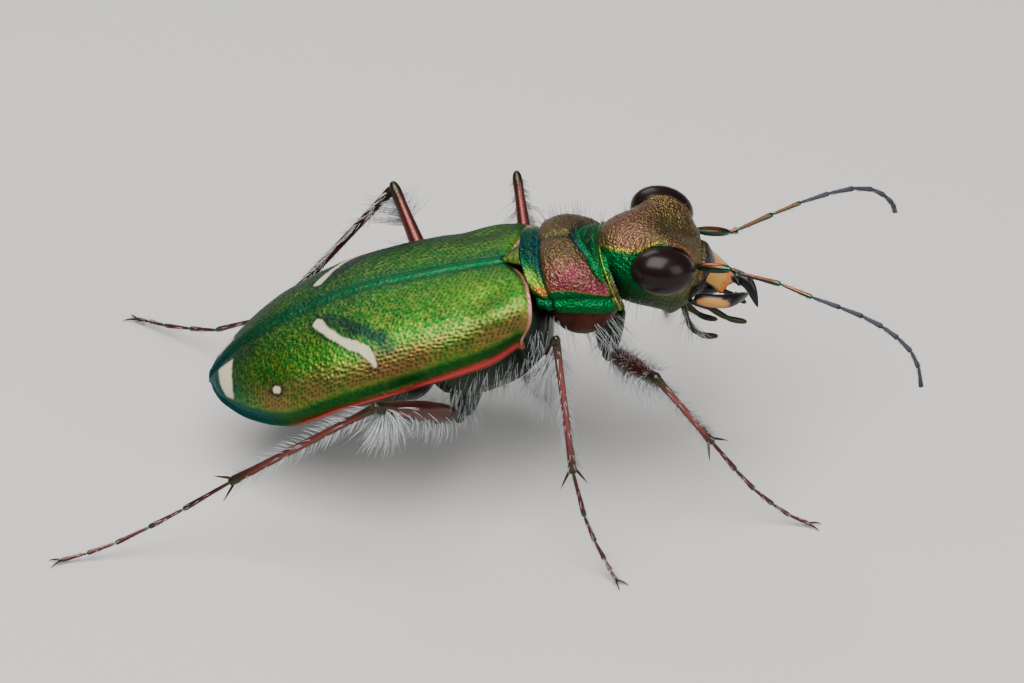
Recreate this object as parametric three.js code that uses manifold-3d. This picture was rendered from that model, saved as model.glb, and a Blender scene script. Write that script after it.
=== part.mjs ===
// Tiger beetle, life size, standing with its front raised.
// Millimetres, +Z up, head towards +X, left side towards +Y, feet on the plane z = 0.
import * as THREE from 'three';
import { mergeVertices } from 'three/addons/utils/BufferGeometryUtils.js';
import Module from 'manifold-3d';

const wasm = await Module();
wasm.setup();

// Driving dimensions
const GAP = 0.2;                    // clearance between two pieces that meet
const WALL = 0.5;                   // thickness of a wing case and of the pronotum
const TRUNK_PITCH = 25.4;           // degrees that the trunk rises towards the head
const SCUTELLUM_HEIGHT = 6.18;      // height of the wing case roots above the floor
const ELYTRON_LENGTH = 8.5;
const PROTHORAX_PITCH = 6;
const PRONOTUM_LENGTH = 2.1;
const PRONOTUM_BOW = 0.39;          // how far its sides lie in front of its midline
const HEAD_HALF_LENGTH = 1.55;
const HEAD_PITCH = -14;
const BROW_RISE = 0.28;             // height of the ridges beside the eyes
const EYE_SPREAD = 1.35;            // from the midline to the centre of an eye
const LABRUM_PITCH = 34;
const LEG_RADIUS = 0.25;            // the least radius of legs and feelers
const FOOT_HEIGHT = 0.1;            // axis of the last foot segments above the floor
const SPUR_RADIUS = 0.13;
const CLAW_RADIUS = 0.12;
const TIP_RADIUS = 0.05;
const FINENESS = 0.02;              // the smallest step that the surfaces keep
const FLOOR_SIZE = 40;

const point = (x, y, z) => new THREE.Vector3(x, y, z);
const degrees = THREE.MathUtils.degToRad;

// Colours and finishes
const finish = (color, roughness, metalness) =>
  new THREE.MeshStandardMaterial({ color, roughness, metalness });
const GREEN_SHELL = finish(0x3f8a4a, 0.35, 0.7);
const COPPER_SHELL = finish(0x8a5a4a, 0.4, 0.6);
const BRONZE_HEAD = finish(0x6b5638, 0.45, 0.5);
const EYE_BROWN = finish(0x241512, 0.15, 0.0);
const CREAM_HORN = finish(0xd9c79a, 0.4, 0.0);
const BLACK_HORN = finish(0x1a1614, 0.3, 0.1);
const COPPER_LEG = finish(0x7a4a42, 0.35, 0.6);
const GREY_FEELER = finish(0x5d6672, 0.6, 0.2);
const UNDERSIDE = finish(0x4d5a4c, 0.4, 0.5);

// Smooth value between stations, each given as [place, value]
function profile(stations) {
  const slope = stations.map((_, i) => {
    const before = stations[Math.max(i - 1, 0)];
    const after = stations[Math.min(i + 1, stations.length - 1)];
    return (after[1] - before[1]) / (after[0] - before[0]);
  });
  return (place) => {
    let i = 0;
    while (i < stations.length - 2 && place > stations[i + 1][0]) i += 1;
    const [from, low] = stations[i];
    const [to, high] = stations[i + 1];
    const span = to - from;
    const t = THREE.MathUtils.clamp((place - from) / span, 0, 1);
    const rise = t * t * (3 - 2 * t);
    const leave = t * (1 - t) * (1 - t) * slope[i];
    const arrive = t * t * (t - 1) * slope[i + 1];
    return low + (high - low) * rise + span * (leave + arrive);
  };
}

// Moves each corner of a shape to where place() puts it
function warp(geometry, place) {
  const position = geometry.attributes.position;
  const corner = new THREE.Vector3();
  for (let i = 0; i < position.count; i += 1) {
    corner.fromBufferAttribute(position, i);
    const moved = place(corner);
    position.setXYZ(i, moved.x, moved.y, moved.z);
  }
  return geometry;
}

// Closed solid from a shape, with shared corners merged
function merged(geometry) {
  const bare = geometry.clone();
  bare.deleteAttribute('normal');
  bare.deleteAttribute('uv');
  return mergeVertices(bare, 1e-4);
}

function solid(geometry) {
  const shape = merged(geometry);
  return new wasm.Manifold(new wasm.Mesh({
    numProp: 3,
    vertProperties: new Float32Array(shape.attributes.position.array),
    triVerts: new Uint32Array(shape.index.array),
  }));
}

function shapeOf(body) {
  const mesh = body.getMesh();
  const geometry = new THREE.BufferGeometry();
  geometry.setAttribute('position', new THREE.BufferAttribute(mesh.vertProperties, 3));
  geometry.setIndex(new THREE.BufferAttribute(mesh.triVerts, 1));
  return geometry;
}

// The same solid with its skin moved outwards by the clearance
function grown(body) {
  const shape = merged(shapeOf(body));
  shape.computeVertexNormals();
  const normal = shape.attributes.normal;
  const position = shape.attributes.position;
  for (let i = 0; i < position.count; i += 1) {
    position.setXYZ(
      i,
      position.getX(i) + normal.getX(i) * GAP,
      position.getY(i) + normal.getY(i) * GAP,
      position.getZ(i) + normal.getZ(i) * GAP,
    );
  }
  return solid(shape);
}

// The largest closed surface of a body, without faces finer than the fineness
function largest(body) {
  const mesh = body.simplify(FINENESS).getMesh();
  const leader = Array.from({ length: mesh.numVert }, (_, i) => i);
  const find = (corner) => {
    let root = corner;
    while (leader[root] !== root) root = leader[root];
    leader[corner] = root;
    return root;
  };
  const faces = Array.from({ length: mesh.numTri }, (_, i) => [...mesh.triVerts.slice(3 * i, 3 * i + 3)]);
  faces.forEach(([a, b, c]) => {
    leader[find(b)] = find(a);
    leader[find(c)] = find(a);
  });
  const surfaces = new Map();
  faces.forEach((face) => {
    const root = find(face[0]);
    surfaces.set(root, [...(surfaces.get(root) ?? []), ...face]);
  });
  const bodies = [...surfaces.values()].map((corners) => new wasm.Manifold(new wasm.Mesh({
    numProp: 3,
    vertProperties: mesh.vertProperties,
    triVerts: new Uint32Array(corners),
  })));
  return bodies.sort((a, b) => b.volume() - a.volume())[0];
}

// Cuts a body back so that it meets its neighbours with the clearance
function clear(body, ...neighbours) {
  const cut = neighbours.reduce((left, next) => left.subtract(grown(next)), body);
  return largest(cut);
}

function fuse(...bodies) {
  return largest(bodies.reduce((all, next) => all.add(next)));
}

// Round bar along a smooth path, with a radius for each place from 0 to 1
function limb(path, radiusAt, sides = 8, steps = 6) {
  const curve = new THREE.CatmullRomCurve3(path, false, 'centripetal');
  const chord = path[path.length - 1].clone().sub(path[0]).normalize();
  const aside = Math.abs(chord.y) > 0.8 ? point(1, 0, 0) : point(0, 1, 0);
  const bar = new THREE.CylinderGeometry(1, 1, 1, sides, steps);
  return solid(warp(bar, (corner) => {
    const t = corner.y + 0.5;
    const along = curve.getTangent(t);
    const across = aside.clone().cross(along).normalize();
    const beside = across.clone().cross(along).normalize();
    const radius = radiusAt(t);
    return curve.getPoint(t)
      .addScaledVector(across, corner.x * radius)
      .addScaledVector(beside, corner.z * radius);
  }));
}

const taper = (from, to) => (t) => from + (to - from) * t;
const spindle = (ends, middle) => (t) => ends + (middle - ends) * Math.sin(Math.PI * t);

// A chain of short segments, each wider at its far end
function beaded(count, near, far) {
  return (t) => {
    const within = (t * count) % 1;
    return near + (far - near) * (within === 0 && t > 0 ? 1 : within);
  };
}

// Places in the trunk: station forward from the wing case roots, side, height
function onTrunk(station, side, height) {
  const pitch = degrees(TRUNK_PITCH);
  return point(
    station * Math.cos(pitch) - height * Math.sin(pitch),
    side,
    SCUTELLUM_HEIGHT + station * Math.sin(pitch) + height * Math.cos(pitch),
  );
}

const PRONOTUM_REAR = point(0.12, 0, 6.46);
function onProthorax(station, side, height) {
  const pitch = degrees(PROTHORAX_PITCH);
  return point(
    PRONOTUM_REAR.x + station * Math.cos(pitch) - height * Math.sin(pitch),
    side,
    PRONOTUM_REAR.z + station * Math.sin(pitch) + height * Math.cos(pitch),
  );
}

// Wing cases: crown along the suture, side margin and half width, by distance from the root
const elytronCrown = profile([
  [0, 0], [1.9, 0.42], [3.5, 0.76], [5.1, 0.84], [6.7, 0.72], [7.8, 0.38], [8.5, 0],
]);
const elytronMargin = profile([
  [0, -1.3], [1.1, -1.36], [3.1, -1.02], [5.1, -0.76], [6.7, -0.92], [7.7, -0.7], [8.5, -0.1],
]);
const elytronWidth = profile([
  [0, 2], [1.1, 2.26], [2.1, 2.45], [3.1, 2.54], [4.8, 2.6], [6.3, 2.3], [7.6, 1.5], [8.2, 0.9], [8.5, 0.2],
]);
// The lower this value, the flatter the back is across
const elytronArch = profile([[0, 0.5], [2, 0.52], [3.6, 0.68], [6, 0.8], [8.5, 0.85]]);
// How far the front edge lies behind the root, from the suture round to the margin
const elytronFront = profile([[0, 0.22], [0.25, -0.19], [0.5, -0.27], [0.75, -0.18], [0.9, 0.02], [1, 0.42]]);

// Point of a wing case: distance from the root, turn from suture to margin, depth in the wall
function elytronPoint(back, turn, depth, side) {
  const inset = depth * WALL;
  const reach = back * (1 - inset / ELYTRON_LENGTH);
  const angle = turn * Math.PI / 2;
  const width = Math.max(elytronWidth(reach) - inset, 0.1) - GAP / 2;
  const margin = elytronMargin(reach);
  const rise = elytronCrown(reach) - inset - margin;
  const outward = GAP / 2 + width * Math.sin(angle) ** 0.85;
  const height = margin + rise * Math.max(Math.cos(angle), 0) ** elytronArch(reach);
  const setback = elytronFront(turn) * Math.max(1 - reach / 1.6, 0);
  return onTrunk(-reach - setback, side * outward, height);
}

function makeElytron(side) {
  const blank = new THREE.BoxGeometry(1, 1, 1, 22, 12, 1);
  return solid(warp(blank, (corner) => {
    const back = (0.5 - corner.x) * ELYTRON_LENGTH;
    const turn = 0.5 + side * corner.y;
    return elytronPoint(back, turn, 0.5 - corner.z, side);
  }));
}

// Scutellum: a small wedge between the wing case roots
function makeScutellum() {
  const outline = new THREE.Shape();
  outline.moveTo(0.15, -0.5);
  outline.lineTo(0.15, 0.5);
  outline.quadraticCurveTo(-0.2, 0.4, -0.85, 0);
  outline.quadraticCurveTo(-0.2, -0.4, 0.15, -0.5);
  const wedge = new THREE.ExtrudeGeometry(outline, { depth: WALL, bevelEnabled: false, curveSegments: 4 });
  wedge.translate(0, 0, -WALL + 0.04);
  return solid(warp(wedge, (corner) => onTrunk(corner.x, corner.y, corner.z)));
}

// Barrel along the trunk: half width, top and bottom at each station
function barrel(place, from, to, width, top, bottom, sides, steps) {
  const bar = new THREE.CylinderGeometry(1, 1, 1, sides, steps);
  return solid(warp(bar, (corner) => {
    const station = from + (to - from) * (corner.y + 0.5);
    const middle = (top(station) + bottom(station)) / 2;
    const half = (top(station) - bottom(station)) / 2;
    return place(station, corner.z * width(station), middle + corner.x * half);
  }));
}

const trunkWidth = profile([
  [-8.2, 0.5], [-7.4, 1.2], [-6, 1.85], [-4, 2.1], [-2, 1.95], [-0.6, 1.6], [0.35, 1.15],
]);
const trunkBottom = profile([
  [-8.2, -0.5], [-7, -1.35], [-5, -1.85], [-3.3, -2.45], [-2.4, -2.85], [-0.6, -2.9], [0.35, -2.1],
]);
const trunkTop = (station) => elytronCrown(-station) - WALL - GAP;
const ABDOMEN_FRONT = -3.1;

// Abdomen: six rings, each a little wider at its rear edge
function makeAbdomen() {
  const rings = 6;
  const length = 5.1;
  const ringed = (station) => 1 - 0.035 * (((station - ABDOMEN_FRONT) / length * rings) % 1 + 1);
  return barrel(
    onTrunk,
    ABDOMEN_FRONT - length,
    ABDOMEN_FRONT - GAP,
    (station) => trunkWidth(station) * ringed(station),
    trunkTop,
    (station) => trunkBottom(station) * ringed(station),
    22,
    18,
  );
}

const makePterothorax = () => barrel(onTrunk, ABDOMEN_FRONT, 0.3, trunkWidth, trunkTop, trunkBottom, 22, 10);

// Pronotum: arched plate with two cross furrows
const pronotumWidth = profile([[0, 1.42], [0.3, 1.56], [1, 1.62], [1.6, 1.6], [2.1, 1.4]]);
const pronotumCrown = profile([
  [0, 0.02], [0.32, -0.03], [0.6, 0.16], [1.1, 0.25], [1.6, 0.14], [1.8, 0], [2.1, 0.04],
]);
const pronotumMargin = profile([[0, -0.95], [1, -1.08], [2.1, -1.2]]);

function makePronotum() {
  const blank = new THREE.BoxGeometry(1, 1, 1, 12, 20, 1);
  return solid(warp(blank, (corner) => {
    const station = (corner.x + 0.5) * PRONOTUM_LENGTH;
    const inset = (0.5 - corner.z) * WALL;
    const angle = corner.y * Math.PI;
    const bow = PRONOTUM_BOW * (1 - Math.cos(angle));
    const width = pronotumWidth(station) - inset;
    const margin = pronotumMargin(station);
    const rise = pronotumCrown(station) - inset - margin;
    const side = Math.sign(angle) * Math.abs(Math.sin(angle)) ** 0.85 * width;
    return onProthorax(station + bow, side, margin + rise * Math.cos(angle) ** 0.75);
  }));
}

const prothoraxWidth = profile([[0.4, 1.15], [1.1, 1.5], [1.8, 1.5], [2.45, 1.15]]);
const prothoraxTop = profile([[0.4, -0.75], [1.4, -0.55], [2.45, -0.75]]);
const prothoraxBottom = profile([[0.4, -1.75], [1.2, -2.2], [1.9, -2.15], [2.45, -1.75]]);
const makeProsternum = () =>
  barrel(onProthorax, 0.4, 2.45, prothoraxWidth, prothoraxTop, prothoraxBottom, 20, 8);

// Head: egg shape that narrows to the clypeus in front and the neck behind
const HEAD_CENTRE = point(3.45, 0, 6.08);
function onHead(forward, side, height) {
  const pitch = degrees(HEAD_PITCH);
  return point(
    HEAD_CENTRE.x + forward * Math.cos(pitch) - height * Math.sin(pitch),
    side,
    HEAD_CENTRE.z + forward * Math.sin(pitch) + height * Math.cos(pitch),
  );
}

const headWidth = profile([[-1, 0.95], [-0.4, 1.25], [0.1, 1.3], [0.6, 1.12], [1, 0.9]]);
const headHeight = profile([[-1, 0.9], [-0.2, 1.14], [0.4, 1.02], [1, 0.7]]);
// Extra depth of the cheeks below the eyes
const headCheek = profile([[-1, 1], [0, 1.02], [0.3, 1.15], [0.48, 1.36], [0.62, 1.2], [0.75, 0.95], [1, 1]]);
// Where the crown is broad and flat, with a ridge beside each eye
const headBrow = profile([[-1, 0], [-0.5, 0], [-0.1, 1], [0.35, 1], [0.75, 0], [1, 0]]);

function makeHead() {
  const ball = new THREE.SphereGeometry(1, 24, 18);
  ball.rotateZ(-Math.PI / 2);
  return solid(warp(ball, (corner) => {
    const girth = Math.sqrt(Math.max(1 - corner.x * corner.x, 1e-6));
    const fullness = Math.min(girth ** -0.35, 2.4);
    const flat = headBrow(corner.x);
    const rise = corner.z > 0
      ? girth * (corner.z / girth) ** (1 - 0.6 * flat)
      : corner.z * headCheek(corner.x);
    const brow = BROW_RISE * flat * corner.y * corner.y * Math.max(corner.z, 0) * 2;
    return onHead(
      corner.x * HEAD_HALF_LENGTH,
      corner.y * headWidth(corner.x) * fullness,
      rise * headHeight(corner.x) * fullness + brow,
    );
  }));
}

function makeEye(side) {
  const ball = new THREE.SphereGeometry(1, 18, 12);
  ball.scale(0.86, 0.6, 0.66);
  ball.rotateY(degrees(12));
  ball.rotateZ(side * degrees(-8));
  ball.translate(3.66, side * EYE_SPREAD, 6.62);
  return solid(ball);
}

// Labrum: plate over the jaws with three blunt teeth
function makeLabrum() {
  const outline = new THREE.Shape();
  outline.moveTo(-0.1, -0.78);
  outline.lineTo(0.45, -0.7);
  [-0.35, 0, 0.35].forEach((tooth) => {
    outline.lineTo(0.6, tooth - 0.14);
    outline.lineTo(0.74, tooth);
    outline.lineTo(0.6, tooth + 0.14);
  });
  outline.lineTo(0.45, 0.7);
  outline.lineTo(-0.1, 0.78);
  const plate = new THREE.ExtrudeGeometry(outline, { depth: WALL, bevelEnabled: false });
  plate.translate(0, 0, -WALL);
  plate.rotateY(degrees(LABRUM_PITCH));
  plate.translate(4.95, 0, 6.04);
  return solid(plate);
}

// Jaws: curved horns with two teeth on the inner edge
function makeMandible(path, teeth) {
  const horn = limb(path, profile([[0, 0.32], [0.5, 0.26], [1, TIP_RADIUS]]), 8, 8);
  return teeth.reduce((jaw, [from, to]) => fuse(jaw, limb([from, to], taper(0.16, TIP_RADIUS), 6, 1)), horn);
}

// Places of the legs: coxa root, trochanter, knee, ankle, foot joints and tip
const LEGS = {
  fore_right: {
    root: point(2.36, -0.62, 5.05), trochanter: point(2.32, -0.85, 3.85), knee: point(3.5, -3.1, 4.6),
    ankle: point(4.89, -2.7, 2.4), femurRadius: 0.33,
    foot: [
      point(5.5, -2.7, 1.53), point(5.96, -2.75, 0.98), point(6.44, -2.82, 0.57),
      point(6.88, -2.9, 0.3), point(7.5, -3, 0),
    ],
  },
  mid_right: {
    root: point(0.52, -0.8, 3.45), trochanter: point(0.62, -1.25, 2.9), knee: point(1, -3.5, 6.05),
    ankle: point(1.43, -4.2, 2.55), femurRadius: 0.32,
    foot: [
      point(1.72, -4.5, 1.41), point(1.98, -4.75, 0.83), point(2.23, -5, 0.45),
      point(2.37, -5.2, 0.27), point(2.57, -5.45, 0),
    ],
  },
  hind_right: {
    root: point(-1.2, -1, 2.85), trochanter: point(-1.35, -1.4, 2.3), knee: point(-3.38, -4.45, 4.72),
    ankle: point(-7.04, -4.05, 2.15), femurRadius: 0.36,
    foot: [
      point(-8.23, -4.05, 1.31), point(-9.09, -4.15, 0.83), point(-9.92, -4.28, 0.44),
      point(-10.62, -4.4, 0.22), point(-11.25, -4.52, 0),
    ],
  },
  fore_left: {
    root: point(2.36, 0.62, 5.05), trochanter: point(2.45, 1, 4.1), knee: point(3.1, 3.2, 5.2),
    ankle: point(3.5, 4.6, 3.1), femurRadius: 0.33,
    foot: [
      point(3.62, 5.1, 2), point(3.72, 5.5, 1.25), point(3.8, 5.8, 0.7),
      point(3.86, 6, 0.35), point(3.92, 6.25, 0),
    ],
  },
  mid_left: {
    root: point(0.52, 0.8, 3.45), trochanter: point(0.62, 1.25, 2.9), knee: point(0.05, 3.7, 6.05),
    ankle: point(0.45, 5, 2.66), femurRadius: 0.32,
    foot: [
      point(0.62, 5.25, 1.5), point(0.78, 5.5, 0.85), point(0.92, 5.7, 0.47),
      point(1.05, 5.85, 0.27), point(1.2, 6.02, 0),
    ],
  },
  hind_left: {
    root: point(-1.2, 1, 2.85), trochanter: point(-1.35, 1.4, 2.3), knee: point(-3.05, 4.1, 5.45),
    ankle: point(-6.18, 3.4, 1.97), femurRadius: 0.36,
    foot: [
      point(-7.67, 4.3, 0.9), point(-8.34, 4.9, 0.53), point(-9.01, 5.4, 0.28),
      point(-9.41, 5.7, 0.2), point(-9.77, 5.95, 0),
    ],
  },
};

const lifted = (place) => point(place.x, place.y, Math.max(place.z, FOOT_HEIGHT));

function makeFemur(leg) {
  const { trochanter, knee, femurRadius } = leg;
  const sag = trochanter.clone().lerp(knee, 0.45).add(point(0, 0, 0.12));
  const shaft = limb([trochanter, sag, knee], spindle(LEG_RADIUS, femurRadius), 10, 8);
  const cap = new THREE.SphereGeometry(LEG_RADIUS * 1.12, 10, 8);
  cap.translate(knee.x, knee.y, knee.z);
  return fuse(shaft, solid(cap));
}

function makeTibia(leg) {
  const { knee, ankle } = leg;
  const shaft = limb([knee, ankle], taper(LEG_RADIUS * 0.96, LEG_RADIUS * 1.08), 8, 5);
  const along = ankle.clone().sub(knee).normalize();
  const towards = leg.foot[0].clone().sub(ankle).normalize();
  const aside = along.clone().cross(towards).normalize();
  const spurs = [-1, 1].map((turn) => {
    const start = ankle.clone().addScaledVector(along, -0.25).addScaledVector(aside, turn * 0.1);
    const end = ankle.clone().addScaledVector(along, 0.3).addScaledVector(aside, turn * 0.55);
    return limb([start, end], taper(SPUR_RADIUS, TIP_RADIUS), 6, 1);
  });
  return fuse(shaft, ...spurs);
}

const floor = solid(new THREE.BoxGeometry(FLOOR_SIZE, FLOOR_SIZE, 4).translate(0, 0, -2));

function makeTarsus(leg) {
  const places = [leg.ankle, ...leg.foot].map(lifted);
  const chain = limb(places, beaded(5, LEG_RADIUS * 0.82, LEG_RADIUS * 1.06), 8, 10);
  const tip = places[5];
  const heading = tip.clone().sub(places[4]).setZ(0).normalize();
  const aside = point(-heading.y, heading.x, 0);
  const claws = [-1, 1].map((turn) => {
    const root = tip.clone().addScaledVector(heading, -0.12).addScaledVector(aside, turn * 0.06);
    const bend = tip.clone().addScaledVector(heading, 0.28).addScaledVector(aside, turn * 0.2);
    const end = tip.clone().addScaledVector(heading, 0.5).addScaledVector(aside, turn * 0.26);
    end.z = TIP_RADIUS;
    return limb([root, bend, end], taper(CLAW_RADIUS, TIP_RADIUS), 5, 2);
  });
  return fuse(chain, ...claws);
}

// Feelers: joints from the socket to the tip, eleven segments in four lengths
const ANTENNA_JOINTS = {
  right: [
    point(4.45, -0.8, 6.38), point(5.34, -1.2, 6.57), point(5.5, -1.3, 6.53), point(6.55, -1.85, 6.57),
    point(7.32, -2.25, 6.45), point(8, -2.6, 6.39), point(8.54, -2.9, 6.33), point(9.01, -3.15, 6.2),
    point(9.39, -3.4, 6.03), point(9.71, -3.6, 5.77), point(9.9, -3.75, 5.39), point(9.97, -3.85, 4.88),
  ],
  left: [
    point(4.55, 0.76, 6.3), point(5.36, 1.2, 6.04), point(5.55, 1.3, 6.05), point(6.45, 1.85, 6.15),
    point(7.16, 2.25, 6.23), point(7.88, 2.6, 6.27), point(8.51, 2.9, 6.22), point(8.98, 3.15, 6.02),
    point(9.29, 3.4, 5.68), point(9.5, 3.6, 5.32), point(9.57, 3.72, 5.1), point(9.6, 3.8, 4.9),
  ],
};
const ANTENNA_LENGTHS = [['scape', 0, 1], ['base', 1, 4], ['middle', 4, 8], ['tip', 8, 11]];

function makeAntenna(joints, first, last) {
  const path = joints.slice(first, last + 1);
  const end = last === 11 ? TIP_RADIUS * 2 : LEG_RADIUS * 1.04;
  const beads = beaded(last - first, LEG_RADIUS * 0.9, LEG_RADIUS * 1.04);
  const radius = (t) => Math.min(beads(t), t > 0.8 ? end + (LEG_RADIUS - end) * (1 - t) * 5 : 1);
  return limb(path, radius, 8, (last - first) * 3);
}

// Assembly
const tigerBeetle = new THREE.Group();
const trunk = new THREE.Group();
const feelers = new THREE.Group();
const legs = new THREE.Group();
tigerBeetle.add(trunk, feelers, legs);

function add(group, name, body, material, origin = point(0, 0, 0)) {
  const geometry = shapeOf(body).translate(-origin.x, -origin.y, -origin.z);
  geometry.computeVertexNormals();
  const mesh = new THREE.Mesh(geometry, material);
  mesh.name = name;
  mesh.position.copy(origin);
  group.add(mesh);
  return mesh;
}

const sides = [['right', -1], ['left', 1]];
const scutellum = makeScutellum();
const pronotum = makePronotum();
const eyes = sides.map(([, side]) => makeEye(side));
const elytra = sides.map(([, side]) => clear(makeElytron(side), scutellum, pronotum));
const prosternum = clear(makeProsternum(), pronotum);
const pterothorax = clear(makePterothorax(), ...elytra, scutellum, pronotum, prosternum);
const abdomen = clear(makeAbdomen(), ...elytra, pterothorax);
const head = clear(makeHead(), ...eyes, pronotum, prosternum);
const labrum = clear(makeLabrum(), head);

add(trunk, 'scutellum', scutellum, GREEN_SHELL);
add(trunk, 'pronotum', pronotum, COPPER_SHELL);
add(trunk, 'prosternum', prosternum, UNDERSIDE);
add(trunk, 'pterothorax', pterothorax, UNDERSIDE);
add(trunk, 'abdomen', abdomen, UNDERSIDE);
add(trunk, 'head', head, BRONZE_HEAD, HEAD_CENTRE);
add(trunk, 'labrum', labrum, CREAM_HORN);
sides.forEach(([name], i) => {
  add(trunk, `elytron_${name}`, elytra[i], GREEN_SHELL);
  add(trunk, `eye_${name}`, eyes[i], EYE_BROWN);
});

// Jaws and palps
const MOUTH = {
  right: {
    jaw: [point(4.5, -1.02, 5.5), point(5.2, -1.08, 5.42), point(5.8, -0.46, 5.15)],
    teeth: [[point(5.35, -0.9, 5.3), point(5.4, -0.4, 5.2)]],
    maxillary: [
      point(4.3, -0.78, 5.35), point(4.8, -0.8, 5.1), point(5.3, -0.72, 4.75), point(5.8, -0.62, 4.58),
    ],
    labial: [
      point(4.15, -0.38, 5.1), point(4.35, -0.42, 4.35), point(4.7, -0.4, 4.05), point(5.08, -0.36, 3.97),
    ],
  },
  left: {
    jaw: [point(4.5, 0.95, 5.5), point(5.35, 1.05, 5.15), point(5.95, 0.6, 4.8), point(6.1, 0.22, 4.4)],
    teeth: [[point(5.5, 0.9, 5.08), point(5.6, 0.42, 4.98)]],
    maxillary: [point(4.3, 0.78, 5.2), point(4.85, 0.85, 4.75), point(5.4, 0.85, 4.4), point(5.8, 0.75, 4.2)],
    labial: [point(4.15, 0.38, 5.1), point(4.35, 0.42, 4.35), point(4.7, 0.4, 4.05), point(5.08, 0.36, 3.97)],
  },
};
sides.forEach(([name]) => {
  const { jaw, teeth, maxillary, labial } = MOUTH[name];
  const mandible = clear(makeMandible(jaw, teeth), head, labrum);
  const palpRadius = profile([[0, LEG_RADIUS], [0.75, LEG_RADIUS * 0.95], [1, TIP_RADIUS * 2]]);
  const maxillaryPalp = clear(limb(maxillary, palpRadius, 8, 8), head, mandible);
  const labialPalp = clear(limb(labial, palpRadius, 8, 7), head, maxillaryPalp);
  add(trunk, `mandible_${name}`, mandible, BLACK_HORN, jaw[0]);
  add(trunk, `maxillary_palp_${name}`, maxillaryPalp, BLACK_HORN, maxillary[0]);
  add(trunk, `labial_palp_${name}`, labialPalp, BLACK_HORN, labial[0]);
});

sides.forEach(([name], i) => {
  let carrier = [head, eyes[i]];
  ANTENNA_LENGTHS.forEach(([length, first, last]) => {
    const joints = ANTENNA_JOINTS[name];
    const piece = clear(makeAntenna(joints, first, last), ...carrier);
    const material = length === 'scape' ? COPPER_LEG : GREY_FEELER;
    add(feelers, `antenna_${name}_${length}`, piece, material, joints[first]);
    carrier = [piece];
  });
});

Object.entries(LEGS).forEach(([name, leg]) => {
  const carrier = name.startsWith('fore') ? [prosternum, pronotum, head] : [pterothorax, abdomen];
  const hip = limb([leg.root, leg.trochanter], taper(0.52, 0.34), 10, 3);
  const coxa = clear(hip, ...carrier);
  const femur = clear(makeFemur(leg), coxa, ...carrier, ...elytra);
  const tibia = clear(makeTibia(leg), femur);
  const tarsus = clear(makeTarsus(leg), tibia).subtract(floor);
  add(legs, `${name}_coxa`, coxa, UNDERSIDE, leg.root);
  add(legs, `${name}_femur`, femur, COPPER_LEG, leg.trochanter);
  add(legs, `${name}_tibia`, tibia, COPPER_LEG, leg.knee);
  add(legs, `${name}_tarsus`, tarsus, COPPER_LEG, leg.ankle);
});

// The origin is the middle of the footprint, on the floor
const box = new THREE.Box3().setFromObject(tigerBeetle);
const middle = box.getCenter(point(0, 0, 0));
tigerBeetle.position.set(-middle.x, -middle.y, 0);
tigerBeetle.updateMatrixWorld(true);

export default tigerBeetle;
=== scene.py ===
import math

import bpy
import numpy as np
from mathutils import Matrix, Vector


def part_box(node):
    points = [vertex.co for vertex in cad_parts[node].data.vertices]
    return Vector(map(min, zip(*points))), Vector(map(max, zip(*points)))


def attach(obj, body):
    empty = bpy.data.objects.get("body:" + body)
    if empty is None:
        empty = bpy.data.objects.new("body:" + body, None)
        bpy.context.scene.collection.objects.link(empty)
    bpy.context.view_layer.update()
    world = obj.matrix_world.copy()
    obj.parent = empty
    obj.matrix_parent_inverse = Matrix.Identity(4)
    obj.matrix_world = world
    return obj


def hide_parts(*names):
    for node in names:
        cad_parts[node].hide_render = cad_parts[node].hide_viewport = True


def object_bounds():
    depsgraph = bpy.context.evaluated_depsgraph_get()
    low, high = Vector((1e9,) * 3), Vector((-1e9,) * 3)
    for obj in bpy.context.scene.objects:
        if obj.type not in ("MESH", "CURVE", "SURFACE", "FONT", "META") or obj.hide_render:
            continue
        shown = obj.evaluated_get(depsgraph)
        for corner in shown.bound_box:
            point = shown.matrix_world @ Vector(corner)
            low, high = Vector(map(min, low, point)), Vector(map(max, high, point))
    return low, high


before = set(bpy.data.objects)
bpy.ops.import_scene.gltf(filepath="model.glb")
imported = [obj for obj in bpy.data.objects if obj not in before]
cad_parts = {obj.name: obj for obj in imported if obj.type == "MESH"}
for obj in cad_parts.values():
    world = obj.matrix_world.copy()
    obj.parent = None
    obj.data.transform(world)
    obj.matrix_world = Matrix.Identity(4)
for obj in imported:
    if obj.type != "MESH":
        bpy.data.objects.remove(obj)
cad_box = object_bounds()

# Sizes in millimetres, in the frame that the solids are built in
MM = 0.001
EYE_CENTRE = (3.66, 1.35, 6.62)
EYE_SIZE = (0.8, 0.58, 0.61)
TRUNK_PITCH = math.radians(25.4)
SCUTELLUM_HEIGHT = 6.18
ELYTRON_LENGTH = 8.5
PROTHORAX_PITCH = math.radians(6)
PRONOTUM_REAR = (0.12, 6.46)
PRONOTUM_LENGTH = 2.1
PRONOTUM_BOW = 0.39
HEAD_CENTRE = (3.45, 6.08)
HEAD_PITCH = math.radians(-14)
HEAD_HALF_LENGTH = 1.55
BROW_RISE = 0.21
PIT_SPACING = 0.118
PIT_DEPTH = 0.013

# The solids stand with the middle of their box over the origin, and this finds the step to it
eye_low, eye_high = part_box("eye_right")
SHIFT = Vector((
    (eye_low[0] + eye_high[0]) / 2 - EYE_CENTRE[0] * MM,
    (eye_low[1] + eye_high[1]) / 2 + EYE_CENTRE[1] * MM,
    0.0,
))
TOP = cad_box[1][2] / MM - 0.02
SIDES = (("right", -1), ("left", 1))
seeded = np.random.default_rng(7)


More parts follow.
